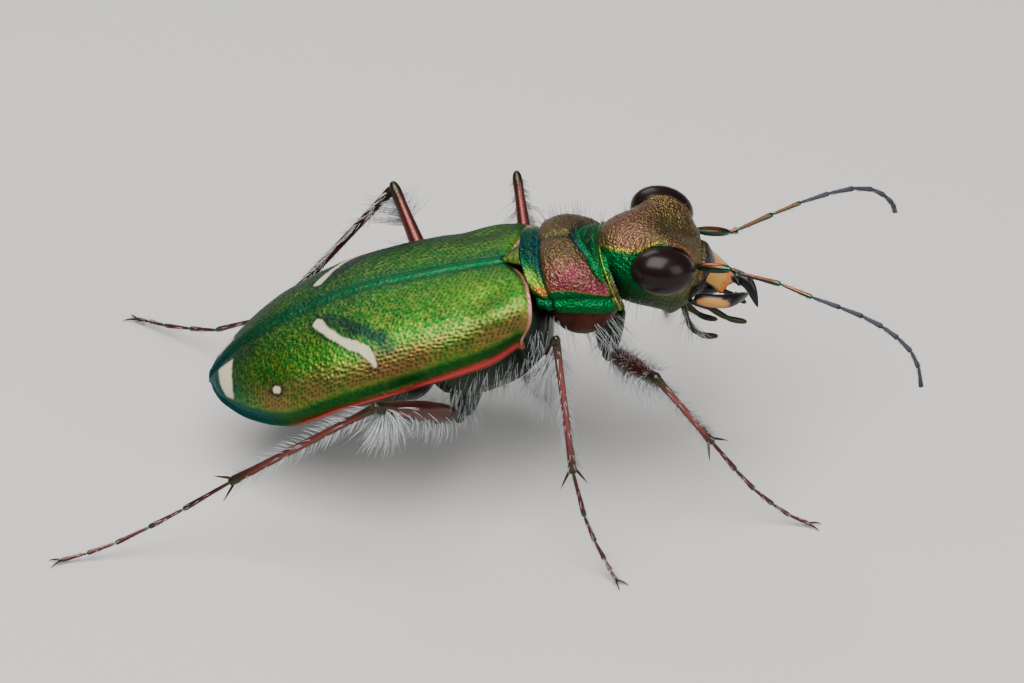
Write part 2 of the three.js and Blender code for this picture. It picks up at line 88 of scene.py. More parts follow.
def profile(stations):
    """A smooth value between stations, each given as (place, value)."""
    place = np.array([station[0] for station in stations], float)
    value = np.array([station[1] for station in stations], float)
    before = np.maximum(np.arange(len(place)) - 1, 0)
    after = np.minimum(np.arange(len(place)) + 1, len(place) - 1)
    slope = (value[after] - value[before]) / (place[after] - place[before])

    def at(x):
        x = np.asarray(x, float)
        i = np.clip(np.searchsorted(place, x, side="right") - 1, 0, len(place) - 2)
        span = place[i + 1] - place[i]
        t = np.clip((x - place[i]) / span, 0, 1)
        rise = t * t * (3 - 2 * t)
        bend = t * (1 - t) ** 2 * slope[i] + t * t * (t - 1) * slope[i + 1]
        return value[i] + (value[i + 1] - value[i]) * rise + span * bend

    return at


def pitched(forward, side, height, root, pitch):
    """Points given forward, sideways and up from a root, turned by the pitch."""
    x = root[0] + forward * math.cos(pitch) - height * math.sin(pitch)
    z = root[1] + forward * math.sin(pitch) + height * math.cos(pitch)
    return np.stack(np.broadcast_arrays(x, side, z), -1)


def on_trunk(forward, side, height):
    return pitched(forward, side, height, (0, SCUTELLUM_HEIGHT), TRUNK_PITCH)


def on_prothorax(forward, side, height):
    return pitched(forward, side, height, PRONOTUM_REAR, PROTHORAX_PITCH)


def on_head(forward, side, height):
    return pitched(forward, side, height, HEAD_CENTRE, HEAD_PITCH)


def bump(distance, width):
    """One at no distance, falling smoothly to nothing past the width."""
    return np.exp(-(distance / width) ** 2)


def step(value, low, high):
    """Rises smoothly from 0 to 1 between two values."""
    t = np.clip((value - low) / (high - low), 0, 1)
    return t * t * (3 - 2 * t)


def unit(vectors):
    return vectors / np.maximum(np.linalg.norm(vectors, axis=-1, keepdims=True), 1e-9)


def ripple(points, size, seed):
    """Soft uneven waves, about as long as the size."""
    waves = np.random.default_rng(seed).normal(size=(9, 3)) * 2.2 / size
    phases = np.random.default_rng(seed + 1).uniform(0, 6.28, 9)
    return sum(np.sin(points @ wave + phase) for wave, phase in zip(waves, phases)) / 4.5


# Modelling

def fresh():
    """Leaves edit mode and lets go of all that is selected."""
    if bpy.context.object and bpy.context.object.mode != "OBJECT":
        bpy.ops.object.mode_set(mode="OBJECT")
    bpy.ops.object.select_all(action="DESELECT")


def chosen(piece):
    fresh()
    piece.select_set(True)
    bpy.context.view_layer.objects.active = piece


def named(name):
    """The piece that was just made, under its name."""
    piece = bpy.context.object
    piece.name = piece.data.name = name
    return piece


def edited(piece, *steps):
    """Runs edit mode steps on the whole of a piece."""
    chosen(piece)
    bpy.ops.object.mode_set(mode="EDIT")
    bpy.ops.mesh.select_all(action="SELECT")
    for each in steps:
        each()
    bpy.ops.object.mode_set(mode="OBJECT")


def smoothed(piece):
    chosen(piece)
    bpy.ops.object.shade_smooth()


def applied(piece, kind, **settings):
    chosen(piece)
    modifier = piece.modifiers.new(kind.lower(), kind)
    for name, value in settings.items():
        setattr(modifier, name, value)
    bpy.ops.object.modifier_apply(modifier=modifier.name)


def paint(piece, name, values):
    """Stores a value for each corner, which the piece's material reads by name."""
    layer = piece.data.attributes.new(name, "FLOAT", "POINT")
    layer.data.foreach_set("value", np.ascontiguousarray(values, dtype=np.float32).ravel())


def plate(name, rows, columns, place, inside, relief=None, marks=None, thickness=0, wrap=False):
    """A free-form surface over a grid, with its fine relief and its marks.

    place, relief and marks take two grids of values from 0 to 1, along and across.
    """
    fresh()
    bpy.ops.mesh.primitive_grid_add(x_subdivisions=rows, y_subdivisions=columns, size=2)
    piece = named(name)
    flat = np.empty(len(piece.data.vertices) * 3)
    piece.data.vertices.foreach_get("co", flat)
    flat = flat.reshape(-1, 3)
    order = np.lexsort((flat[:, 1], flat[:, 0]))
    grid = flat[order].reshape(rows + 1, columns + 1, 3)
    along = np.clip((grid[..., 0] + 1) / 2, 0, 1)
    across = np.clip((grid[..., 1] + 1) / 2, 0, 1)
    points = place(along, across)
    if relief:
        facing = unit(np.cross(np.gradient(points, axis=0), np.gradient(points, axis=1)))
        outward = np.sum(facing * (points - np.array(inside)), axis=-1).mean()
        points = points + facing * math.copysign(1, outward) * relief(along, across, points)[..., None]
    moved = np.empty_like(flat)
    moved[order] = points.reshape(-1, 3)
    piece.data.vertices.foreach_set("co", moved.ravel())
    for mark, values in (marks(along, across, points) if marks else {}).items():
        spread = np.empty(len(flat))
        spread[order] = np.broadcast_to(values, along.shape).ravel()
        paint(piece, mark, spread)
    piece.data.update()
    if wrap:
        edited(piece, lambda: bpy.ops.mesh.remove_doubles(threshold=1e-4))
    edited(piece, lambda: bpy.ops.mesh.normals_make_consistent(inside=False))
    if thickness:
        centre = Vector(inside)
        facing = sum(face.normal.dot(face.center - centre) * face.area for face in piece.data.polygons)
        if facing < 0:
            edited(piece, bpy.ops.mesh.flip_normals)
        applied(piece, "SOLIDIFY", thickness=thickness, offset=-1)
    smoothed(piece)
    return piece


def tube(name, path, radius_at, rows, sides, flat=1.0, marks=None):
    """A closed round bar along a smooth path, with a radius from 0 to 1 along it."""
    stops = np.array(path, float)
    lengths = np.concatenate([[0], np.cumsum(np.linalg.norm(np.diff(stops, axis=0), axis=1))])
    lengths /= lengths[-1]
    curves = [profile(list(zip(lengths, stops[:, axis]))) for axis in range(3)]
    chord = stops[-1] - stops[0]
    aside = np.array([1.0, 0, 0]) if abs(chord[1]) > 0.8 * np.linalg.norm(chord) else np.array([0, 1.0, 0])

    def place(along, across):
        centre = np.stack([curve(along) for curve in curves], -1)
        ahead = unit(np.stack([curve(along + 0.01) - curve(along - 0.01) for curve in curves], -1))
        first = unit(np.cross(aside, ahead))
        second = np.cross(ahead, first)
        angle = across * 2 * math.pi
        closing = np.sqrt(np.clip(1 - np.abs(2 * along - 1) ** 12, 0, 1))
        radius = radius_at(along) * closing
        first_part = first * (np.cos(angle) * radius * flat)[..., None]
        return centre + first_part + second * (np.sin(angle) * radius)[..., None]

    return plate(name, rows, sides, place, stops.mean(axis=0), None, marks, wrap=True)


def shaft(name, sides, levels, rings):
    """A straight limb segment from x = 0 to 1, grown ring by ring from a disc."""
    fresh()
    rings = [(*ring, 0)[:4] for ring in rings]
    place, width, height, lift = rings[0]
    bpy.ops.mesh.primitive_circle_add(
        vertices=sides, radius=1, fill_type="NGON", location=(place, 0, lift), rotation=(0, math.pi / 2, 0)
    )
    piece = named(name)
    bpy.ops.object.transform_apply()
    bpy.ops.object.mode_set(mode="EDIT")
    bpy.ops.mesh.select_all(action="SELECT")
    bpy.ops.transform.resize(value=(1, width, height), center_override=(place, 0, lift))
    for next_place, next_width, next_height, next_lift in rings[1:]:
        move = (next_place - place, 0, next_lift - lift)
        bpy.ops.mesh.extrude_region_move(TRANSFORM_OT_translate={"value": move})
        grow = (1, next_width / width, next_height / height)
        bpy.ops.transform.resize(value=grow, center_override=(next_place, 0, next_lift))
        place, width, height, lift = next_place, next_width, next_height, next_lift
    bpy.ops.mesh.select_all(action="SELECT")
    bpy.ops.mesh.normals_make_consistent(inside=False)
    bpy.ops.object.mode_set(mode="OBJECT")
    applied(piece, "SUBSURF", levels=levels, render_levels=levels)
    smoothed(piece)
    where = np.array([corner.co.x for corner in piece.data.vertices])
    paint(piece, "joint", np.maximum(bump(where, 0.1), bump(where - 1, 0.12)))
    # Painted sheen: how much a corner faces up, towards the light, for a lighter tint on the upper side
    paint(piece, "top_sheen", np.array([max(corner.normal.z, 0) ** 3 for corner in piece.data.vertices]))
    return piece


def segment(kind, start, end, width, up=(0, 0, 1)):
    """A copy of a straight segment, stretched from one joint to the next."""
    start, end = Vector(start), Vector(end)
    along = end - start
    side = Vector(up).cross(along).normalized()
    top = along.cross(side).normalized()
    matrix = Matrix((along, side * width, top * width)).transposed().to_4x4()
    matrix.translation = start
    piece = templates[kind].copy()
    piece.data = piece.data.copy()
    bpy.context.collection.objects.link(piece)
    piece.data.transform(matrix)
    return piece


def joined(name, pieces):
    fresh()
    for piece in pieces:
        piece.select_set(True)
    bpy.context.view_layer.objects.active = pieces[0]
    if len(pieces) > 1:
        bpy.ops.object.join()
    return named(name)


def settled(piece, material, slot, *nodes):
    """Brings a finished piece from millimetres to its place, gives it its material and hides the solids that
    it stands in for.
    """
    piece.data.transform(Matrix.Translation(SHIFT) @ Matrix.Scale(MM, 4))
    piece.data.update()
    piece.data.materials.clear()
    piece.data.materials.append(material)
    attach(piece, "root")
    if nodes:
        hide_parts(*nodes)
    return piece


# Materials

def feed(tree, socket, value):
    """Gives an input its number, its colour or the output that drives it."""
    if isinstance(value, bpy.types.NodeSocket):
        tree.links.new(value, socket)
    else:
        socket.default_value = (*value, 1) if isinstance(value, tuple) else value


def add_node(tree, kind, **values):
    """A node with its settings and its inputs, both given by name."""
    item = tree.nodes.new(kind)
    for name, value in values.items():
        if hasattr(item, name) and name not in item.inputs:
            setattr(item, name, value)
        else:
            feed(tree, item.inputs[name.replace("_", " ")], value)
    return item


def product(tree, first, second, operation="MULTIPLY", clamp=True):
    item = add_node(tree, "ShaderNodeMath", operation=operation, use_clamp=clamp)
    for socket, value in zip(item.inputs, (first, second)):
        feed(tree, socket, value)
    return item.outputs[0]


def mask(tree, grain, source, amount=None, operation="MULTIPLY"):
    """A painted mark or a part of the grain, changed by an amount. Either can be a mask in brackets."""
    if isinstance(source, tuple):
        socket = mask(tree, grain, *source)
    # Grazing views turn darker: partly a shift of the structural colour, partly painted shade
    elif source == "grazing":
        facing = add_node(tree, "ShaderNodeLayerWeight", Blend=0.5).outputs["Facing"]
        socket = product(tree, facing, facing)
    elif source in grain:
        socket = grain[source]
    else:
        socket = add_node(tree, "ShaderNodeAttribute", attribute_name=source).outputs["Fac"]
    if isinstance(amount, tuple):
        amount = mask(tree, grain, *amount)
    return socket if amount is None else product(tree, socket, amount, operation)


def blended(tree, grain, below, *layers):
    """Colours over each other. Each layer is a colour, or a list of them, and the mask where it shows."""
    for color, *where in layers:
        if isinstance(color, list):
            color = blended(tree, grain, *color)
        mix = add_node(tree, "ShaderNodeMix", data_type="RGBA")
        parts = (mask(tree, grain, *where), below, color)
        for socket, value in zip((mix.inputs[0], mix.inputs[6], mix.inputs[7]), parts):
            feed(tree, socket, value)
        below = mix.outputs[2]
    return below


def chitin_grain():
    """Shared fine structure of the shell: tiny cells, wrinkles and bright flecks."""
    group = bpy.data.node_groups.new("chitin_grain", "ShaderNodeTree")
    for name in ("Cell size", "Wrinkles"):
        group.interface.new_socket(name, in_out="INPUT", socket_type="NodeSocketFloat")
    for name in ("Height", "Flecks", "Clouds"):
        group.interface.new_socket(name, in_out="OUTPUT", socket_type="NodeSocketFloat")
    source = group.nodes.new("NodeGroupInput").outputs
    result = group.nodes.new("NodeGroupOutput").inputs
    place = add_node(group, "ShaderNodeTexCoord").outputs["Object"]
    fineness = product(group, 1000.0, source["Cell size"], "DIVIDE", False)
    cells = add_node(group, "ShaderNodeTexVoronoi", feature="SMOOTH_F1", Vector=place, Scale=fineness)
    flecks = add_node(group, "ShaderNodeTexVoronoi", Vector=place, Scale=fineness)
    gray = add_node(group, "ShaderNodeSeparateColor", Color=flecks.outputs["Color"])
    wrinkles = add_node(group, "ShaderNodeTexNoise", Vector=place, Scale=16000.0, Detail=3.0, Distortion=0.8)
    clouds = add_node(group, "ShaderNodeTexNoise", Vector=place, Scale=1100.0, Detail=3.0)
    rough = product(group, wrinkles.outputs["Fac"], source["Wrinkles"])
    height = product(group, cells.outputs["Distance"], rough, "ADD", False)
    feed(group, result["Height"], height)
    feed(group, result["Flecks"], gray.outputs["Red"])
    feed(group, result["Clouds"], clouds.outputs["Fac"])
    return group


GRAIN = chitin_grain()
SPECULAR = 0.18
COAT_ROUGHNESS = 0.12


def painted(name, cell, wrinkles, colors, metallic, roughness, relief, depth=0.008, coat=0.0, dull=None):
    """A material from its grain, its colours and its shine. A mark named as dull takes the metal away."""
    material = bpy.data.materials.new(name)
    material.use_nodes = True
    tree = material.node_tree
    tree.nodes.clear()
    grain = add_node(tree, "ShaderNodeGroup", node_tree=GRAIN, Cell_size=cell, Wrinkles=wrinkles).outputs
    if dull:
        metallic = product(tree, metallic, mask(tree, grain, dull), "SUBTRACT")
    low, high = roughness
    spread = add_node(tree, "ShaderNodeMapRange", Value=grain["Clouds"], To_Min=low, To_Max=high)
    bumps = add_node(tree, "ShaderNodeBump", Strength=relief, Distance=depth * MM, Height=grain["Height"])
    shader = add_node(
        tree, "ShaderNodeBsdfPrincipled", Base_Color=blended(tree, grain, *colors), Metallic=metallic,
        Roughness=spread.outputs["Result"], Normal=bumps.outputs["Normal"],
        Specular_IOR_Level=SPECULAR, Coat_Weight=coat, Coat_Roughness=COAT_ROUGHNESS,
    )
    add_node(tree, "ShaderNodeOutputMaterial", Surface=shader.outputs["BSDF"])
    return material


TEAL = (0.0, 0.055, 0.07)
DEEP_GREEN = (0.001, 0.030, 0.010)
EMERALD = (0.002, 0.12, 0.03)
GOLD_GREEN = (0.21, 0.36, 0.02)
COPPER = (0.26, 0.14, 0.05)
ORANGE = (0.60, 0.15, 0.02)
PLUM = (0.16, 0.022, 0.052)
BRONZE = (0.115, 0.055, 0.033)
BRIGHT_GOLD = (0.46, 0.40, 0.09)

# Wing case: green with gold flecks, dark pits, cream marks and a rose rim, a painted highlight on the
# shoulder and painted shade towards grazing views
SHELL = painted("shell_green", 0.075, 0.35, [
    DEEP_GREEN,
    ((0.012, 0.20, 0.016), "Clouds", 1.7),
    (GOLD_GREEN, ("Flecks", 2.2, "POWER"), 0.8),
    (COPPER, "Flecks", 0.2),
    # Painted highlight: a brighter gold-green on the shoulder of the wing case, where the light falls
    (GOLD_GREEN, "glow", 0.35),
    # Dark teal towards grazing views: partly the shift of the structural colour, partly painted shade on the
    # far wing case and along the outline
    ((0.0, 0.028, 0.016), "grazing", 1.5),
    ((0.001, 0.07, 0.03), "inner"),
    (COPPER, "lower", ("Flecks", 0.45, "ADD")),
    ((0.010, 0.02, 0.03), "shadow", 0.85),
    ((0.002, 0.022, 0.010), "pit", 0.95),
    ((0.003, 0.055, 0.012), "band"),
    (TEAL, "tail"),
    ((0.10, 0.018, 0.008), "line"),
    ((0.50, 0.045, 0.06), "rim"),
    ((0.55, 0.26, 0.20), "front_rim"),
    ((0.46, 0.41, 0.29), "cream"),
], 0.96, (0.4, 0.54), 0.7, 0.02, dull="cream")

# Copper lobes, green furrows and a blue front edge
PRONOTUM = painted("pronotum_copper", 0.05, 0.9, [
    BRONZE,
    ((0.065, 0.07, 0.024), "Clouds", 0.9),
    (PLUM, "lobe_side"),
    (BRIGHT_GOLD, ("Flecks", 4.0, "POWER"), 0.22),
    (ORANGE, "lobe_edge"),
    ([DEEP_GREEN, (EMERALD, "Clouds", 1.6)], "groove"),
    (TEAL, "blue"),
    (GOLD_GREEN, "gold"),
    (ORANGE, "spot"),
], 0.92, (0.24, 0.45), 0.8, 0.035)

# Bronze head, green temples and rose streaks beside the eyes
HEAD = painted("head_bronze", 0.045, 0.9, [
    BRONZE,
    ((0.14, 0.13, 0.042), "Clouds", 0.8),
    (PLUM, "nape", ("Flecks", 0.8)),
    (BRIGHT_GOLD, ("Flecks", 4.0, "POWER"), 0.3),
    ([DEEP_GREEN, (EMERALD, "Clouds", 1.4)], "temple"),
    ((0.45, 0.32, 0.03), "gold"),
    ((0.5, 0.10, 0.07), "streak"),
    ((0.05, 0.045, 0.06), "front"),
    ((0.012, 0.045, 0.014), "cheek"),
    # Near black under the front of the head around the mouth: partly the dark mouth, partly painted shade
    # under the head
    ((0.008, 0.008, 0.008), "mouth"),
    # Painted shade: a black line in the crease where the eye meets the head
    ((0.006, 0.006, 0.006), "socket"),
], 0.92, (0.24, 0.45), 0.8, 0.035)
UNDERSIDE = painted("underside_dark", 0.07, 0.6, [
    (0.007, 0.016, 0.013), ((0.018, 0.048, 0.036), "Clouds"), ((0.06, 0.028, 0.015), "Flecks", 0.35),
], 0.8, (0.3, 0.5), 0.5, 0.015)
FLANK = painted("flank_brown", 0.05, 0.8, [
    (0.035, 0.010, 0.008), ((0.085, 0.026, 0.016), "Clouds"), (EMERALD, "edge", 0.8),
], 0.75, (0.34, 0.55), 0.6, 0.015)

# Coppery legs with a painted rose sheen on their upper side and green at the joints
LEG = painted("leg_copper", 0.04, 0.6, [
    (0.055, 0.017, 0.012), ((0.13, 0.038, 0.028), "Clouds"),
    ((0.40, 0.11, 0.12), "top_sheen", 0.5), ((0.02, 0.035, 0.02), "joint", 0.8),
], 0.85, (0.22, 0.42), 0.5, 0.01, 0.15)
TARSUS = painted("foot_purple", 0.04, 0.5, [
    (0.05, 0.015, 0.014), ((0.12, 0.035, 0.038), "Clouds"), ((0.012, 0.09, 0.045), "joint", 0.9),
], 0.85, (0.25, 0.4), 0.5, 0.01, 0.1)
# Copper on the feeler's base only on its upper side, over a dark green underside: its own copper colour and a
# painted sheen
FEELER_METAL = painted("feeler_metal", 0.04, 0.4, [
    (0.015, 0.045, 0.028), ((0.42, 0.09, 0.03), "top_sheen"), ((0.02, 0.10, 0.06), "joint"),
], 0.9, (0.2, 0.35), 0.4, coat=0.2)
FEELER_GREY = painted("feeler_grey", 0.03, 0.8, [
    (0.018, 0.022, 0.030), ((0.055, 0.065, 0.085), "Clouds"), ((0.02, 0.02, 0.025), "joint", 0.8),
], 0.1, (0.5, 0.7), 0.6)

# Cream mouth plates that darken to black along their cutting edges
MOUTH_HORN = painted("horn_cream", 0.06, 0.5, [
    (0.37, 0.18, 0.04), ((0.44, 0.25, 0.07), "Clouds"),
    ((0.40, 0.10, 0.012), "warm", 0.8), ((0.006, 0.006, 0.007), "dark"),
], 0.0, (0.25, 0.38), 0.3, coat=0.2)


def plain(name, dark, light, metallic, roughness, relief, cell=0.05, coat=0.0):
    return painted(name, cell, 0.5, [dark, (light, "Clouds")], metallic, roughness, relief, coat=coat)


EYE = plain("eye_brown", (0.004, 0.002, 0.002), (0.012, 0.005, 0.004), 0.0, (0.26, 0.32), 0.1, 0.03, 0.05)
PALP = plain("palp_dark", (0.012, 0.03, 0.02), (0.06, 0.035, 0.02), 0.6, (0.28, 0.42), 0.3)
CLAW = plain("claw_dark", (0.02, 0.01, 0.008), (0.05, 0.02, 0.014), 0.2, (0.25, 0.35), 0.3)
HAIR = plain("hair_white", (0.30, 0.33, 0.35), (0.50, 0.52, 0.52), 0.0, (0.4, 0.55), 0.1)
DARK_HAIR = plain("hair_grey", (0.10, 0.09, 0.08), (0.24, 0.22, 0.20), 0.0, (0.4, 0.55), 0.1)


# Wing cases

crown = profile([(0, 0), (1.9, 0.42), (3.5, 0.76), (5.1, 0.84), (6.7, 0.72), (7.8, 0.38), (8.5, 0)])
margin = profile([
    (0, -1.3), (1.1, -1.36), (3.1, -1.02), (5.1, -0.76), (6.7, -0.92), (7.7, -0.7), (8.5, -0.1),
])
half_width = profile([
    (0, 2.0), (1.1, 2.26), (2.1, 2.45), (3.1, 2.54), (4.8, 2.6),
    (6.3, 2.3), (7.6, 1.5), (8.2, 0.9), (8.5, 0.2),
])
flatness = profile([(0, 0.5), (2, 0.52), (3.6, 0.68), (6, 0.8), (8.5, 0.85)])
front_edge = profile([(0, 0.22), (0.25, -0.19), (0.5, -0.27), (0.75, -0.18), (0.9, 0.02), (1, 0.42)])
MARGIN_TURN = 0.93
CREAM_BAND = (
    (5.05, 0.187, 0.13), (4.81, 0.292, 0.10), (4.53, 0.402, 0.09), (4.25, 0.484, 0.13), (3.99, 0.568, 0.14),
    (3.87, 0.653, 0.10), (3.84, 0.75, 0.04),
)
SHADOW_BAND = ((4.85, 0.19, 0), (4.3, 0.3, 0), (3.85, 0.42, 0), (3.5, 0.52, 0), (3.45, 0.62, 0.04))
CREAM_DOT = (6.53, 0.65)


def from_line(line, back, turn, arc):
    """Distance in the surface of a wing case from a band of (back, turn, half its width) places."""
    nearest = np.full(back.shape, 9.0)
    for (back_a, turn_a, wide_a), (back_b, turn_b, wide_b) in zip(line, line[1:]):
        run_back, run_side = back_b - back_a, (turn_b - turn_a) * arc
        off_back, off_side = back - back_a, (turn - turn_a) * arc
        share = (off_back * run_back + off_side * run_side) / (run_back ** 2 + run_side ** 2)
        share = np.clip(share, 0, 1)
        off = np.hypot(off_back - share * run_back, off_side - share * run_side)
        nearest = np.minimum(nearest, off - wide_a - (wide_b - wide_a) * share)
    return nearest


def wing_case(side):
    """One wing case: the grid runs from the root to the tip and from the suture round the rim."""

    def place(along, across):
        back = along * ELYTRON_LENGTH
        turn = np.minimum(across / MARGIN_TURN, 1)
        under = np.clip((across - MARGIN_TURN) / (1 - MARGIN_TURN), 0, 1)
        angle = turn * math.pi / 2
        low = margin(back)
        wide = half_width(back)
        outward = wide * np.sin(angle) ** 0.85 - under * np.minimum(0.3, wide * 0.5)
        height = low + (crown(back) - low) * np.maximum(np.cos(angle), 0) ** flatness(back)
        height = height - 0.05 * np.sin(under * math.pi)
        setback = front_edge(turn) * np.maximum(1 - back / 1.6, 0)
        fold = 0.10 * bump(back, 0.12)
        return on_trunk(-back - setback, side * (outward + 0.008), height - fold)

    def measures(along, across, points):
        """Distance in the surface from the suture and from the rim."""
        runs = np.linalg.norm(np.diff(points, axis=1), axis=-1)
        from_suture = np.concatenate([np.zeros((len(points), 1)), np.cumsum(runs, axis=1)], axis=1)
        rim = from_suture[:, int(MARGIN_TURN * (points.shape[1] - 1))][:, None]
        return along * ELYTRON_LENGTH, from_suture, rim - from_suture

    def pits(along, across, points):
        """Rows of small round pits, each set a little off its place."""
        back, from_suture, to_rim = measures(along, across, points)
        row_height = PIT_SPACING * 0.866
        nearest = np.full(along.shape, 9.0)
        for row_step in (-1, 0, 1):
            row = np.floor(from_suture / row_height) + row_step
            offset = (row % 2) * 0.5
            for cell_step in (-1, 0, 1):
                cell = np.floor(back / PIT_SPACING - offset) + cell_step
                stray = np.sin(row * 12.99 + cell * 78.23) * 43758.5
                stray = (stray - np.floor(stray) - 0.5) * 0.6
                pit_back = (cell + offset + 0.5 + stray) * PIT_SPACING
                pit_side = (row + 0.5 + stray * 0.8) * row_height
                nearest = np.minimum(nearest, np.hypot(back - pit_back, from_suture - pit_side))
        field = step(from_suture, 0.12, 0.3) * step(to_rim, 0.38, 0.62) * step(back, 0.12, 0.3)
        field = field * (1 - 0.7 * step(back, 7.2, 8.2))
        return bump(nearest, 0.033) * field

    def relief(along, across, points):
        back, from_suture, to_rim = measures(along, across, points)
        bead = 0.05 * bump(from_suture, 0.07) - 0.025 * bump(from_suture - 0.16, 0.05)
        rim = 0.05 * bump(to_rim, 0.06) - 0.03 * bump(to_rim - 0.15, 0.06)
        shoulder = 0.10 * bump(back - 0.75, 0.5) * bump(across - 0.62, 0.16)
        hollow = -0.07 * bump(back - 0.95, 0.45) * bump(across - 0.36, 0.12)
        wave = 0.012 * ripple(points, 0.9, 3)
        closing = step(along, 0, 0.01) * (1 - step(along, 0.985, 1))
        return (bead + rim + shoulder + hollow + wave - PIT_DEPTH * pits(along, across, points)) * closing

    def marks(along, across, points):
        back, from_suture, to_rim = measures(along, across, points)
        turn = across / MARGIN_TURN
        arc = from_suture[:, int(MARGIN_TURN * (along.shape[1] - 1))][:, None]
        ragged = 0.018 * ripple(points, 0.12, 11)
        from_band = from_line(CREAM_BAND, back, turn, arc) + ragged
        cream = 1 - step(from_band, -0.02, 0.03)
        dot = np.hypot(back - CREAM_DOT[0], (turn - CREAM_DOT[1]) * arc)
        cream = np.maximum(cream, 1 - step(dot + ragged * 2, 0.09, 0.13))
        tip_width = 0.36 * (1 - 0.75 * np.clip((turn - 0.12) / 0.66, 0, 1))
        tip = np.abs(back - 7.93) + ragged
        inside_tip = (1 - step(tip, tip_width - 0.04, tip_width + 0.02))
        inside_tip = inside_tip * step(turn, 0.12, 0.17) * (1 - step(turn, 0.70, 0.78))
        cream = np.maximum(cream, inside_tip) * (1 - step(back, 8.06, 8.14))
        shadow = bump(from_line(SHADOW_BAND, back, turn, arc), 0.26)
        shadow = np.maximum(shadow, 0.9 * bump(dot - 0.17, 0.06))
        shadow = np.maximum(shadow, 0.8 * bump(from_band - 0.06, 0.05))
        shadow = np.clip(shadow * (1 + 0.4 * ripple(points, 0.35, 5)), 0, 1)
        lower = step(to_rim, 0.3, 0.6) * (1 - step(to_rim, 0.75, 1.5)) * (1 - step(back, 6.6, 7.6))
        tail = 0.8 * step(back, 6.6, 7.4) * (1 - step(to_rim, 0.3, 0.6))
        line = np.maximum(bump(to_rim - 0.075, 0.045), 1 - step(to_rim, -0.06, -0.03))
        before_tip = 1 - step(back, 6.0, 6.8)
        return {
            "pit": pits(along, across, points) * (1 - cream),
            "cream": cream,
            "shadow": shadow,
            "lower": lower * (0.75 + 0.35 * ripple(points, 0.7, 8)),
            "inner": (1 - step(from_suture, 0.1, 0.55)) * 0.9,
            "band": (1 - step(to_rim, 0.32, 0.5)) * 0.9,
            "tail": np.maximum(step(back, 7.0, 8.3), tail) * 0.85,
            "line": line * 0.9 * before_tip,
            "rim": (1 - step(to_rim, 0.0, 0.03)) * step(to_rim, -0.05, -0.02) * before_tip,
            # Painted highlight on the shoulder, where the light falls
            "glow": bump(back - 1.1, 0.75) * bump(from_suture - 1.15, 0.5),
            "front_rim": (1 - step(back, 0.05, 0.09)) * step(from_suture, 0.4, 0.6),
        }

    name = "wing_case_right" if side < 0 else "wing_case_left"
    return plate(name, 300, 118, place, (-3.0, 0, 3.2), relief, marks, thickness=0.07)


def make_wing_cases():
    for name, side in SIDES:
        settled(wing_case(side), SHELL, "green_shell", f"elytron_{name}")


def make_scutellum():
    """A small wedge between the roots of the wing cases."""

    def place(along, across):
        forward = 0.12 - along * 0.5
        half = 0.42 * np.clip(1 - along, 0, 1) ** 0.8 + 0.01
        return on_trunk(forward, (across - 0.5) * 2 * half, 0.04 - 0.05 * (2 * across - 1) ** 2)

    # Gold-green over the scutellum, by the same mark that paints the highlight on the wing cases
    marks = lambda *_: {"glow": 0.6, "lower": 0.3}
    piece = plate("scutellum_wedge", 26, 18, place, (0, 0, 4), None, marks, thickness=0.2)
    settled(piece, SHELL, "green_shell", "scutellum")


# Trunk under the wing cases

body_width = profile([(-8.2, 0.5), (-7.4, 1.2), (-6, 1.85), (-4, 2.2), (-2, 2.1), (-0.6, 1.7), (0.35, 1.15)])
body_bottom = profile([
    (-8.2, -0.5), (-7, -1.35), (-5, -1.85), (-3.3, -2.45), (-2.4, -2.85), (-0.6, -2.9), (0.35, -2.1),
])
RINGS = 6


def body_top(forward):
    return crown(-forward) - 0.45 + 0.27 * step(forward, -0.6, 0.1)


# Where each barrel of the body stands, where it starts and stops, its width, its top and its bottom
ABDOMEN = (on_trunk, -8.1, -2.9, body_width, body_top, body_bottom)
CHEST = (on_trunk, -3.2, 0.32, body_width, body_top, body_bottom)


def round_barrel(place_on, start, stop, width, top, bottom, rounded=True):
    """Places on a barrel, all along and all round, with its ends rounded off or left open."""

    def place(along, across):
        forward = start + (stop - start) * along
        angle = across * 2 * math.pi
        closing = np.clip(1 - np.abs(2 * along - 1) ** 8, 0, 1) ** 0.5 if rounded else 1
        middle = (top(forward) + bottom(forward)) / 2
        half = (top(forward) - bottom(forward)) / 2
        side = np.sin(angle) * width(forward) * closing
        return place_on(forward, side, middle + np.cos(angle) * half * closing)

    return place


def barrel(name, shape, rows, sides, relief, marks=None):
    place_on, start, stop, _, top, bottom = shape
    centre = (start + stop) / 2
    inside = place_on(centre, 0, float(top(centre) + bottom(centre)) / 2)
    return plate(name, rows, sides, round_barrel(*shape), inside, relief, marks, wrap=True)


def make_abdomen():
    """Rings that overlap towards the tail."""

    def relief(along, across, points):
        within = (1 - along) * RINGS % 1
        return 0.05 * within - 0.06 * bump(within - 1, 0.08) + 0.006 * ripple(points, 0.2, 21)

    settled(barrel("abdomen_rings", ABDOMEN, 120, 72, relief), UNDERSIDE, "underside", "abdomen")


def make_pterothorax():
    """Middle and hind chest with the seams between their plates."""

    def relief(along, across, points):
        forward = -3.2 + 3.5 * along
        aside = np.abs(across - 0.5)
        seam = bump(forward + 0.75 - 0.5 * aside, 0.05) + bump(forward + 2.75, 0.05)
        midline = bump(aside * 8, 0.06)
        flank = bump(aside - 0.17 - 0.03 * forward, 0.006)
        return -0.06 * seam - 0.04 * midline - 0.05 * flank + 0.008 * ripple(points, 0.25, 22)

    settled(barrel("chest_plates", CHEST, 90, 96, relief), UNDERSIDE, "underside", "pterothorax")


# Prothorax

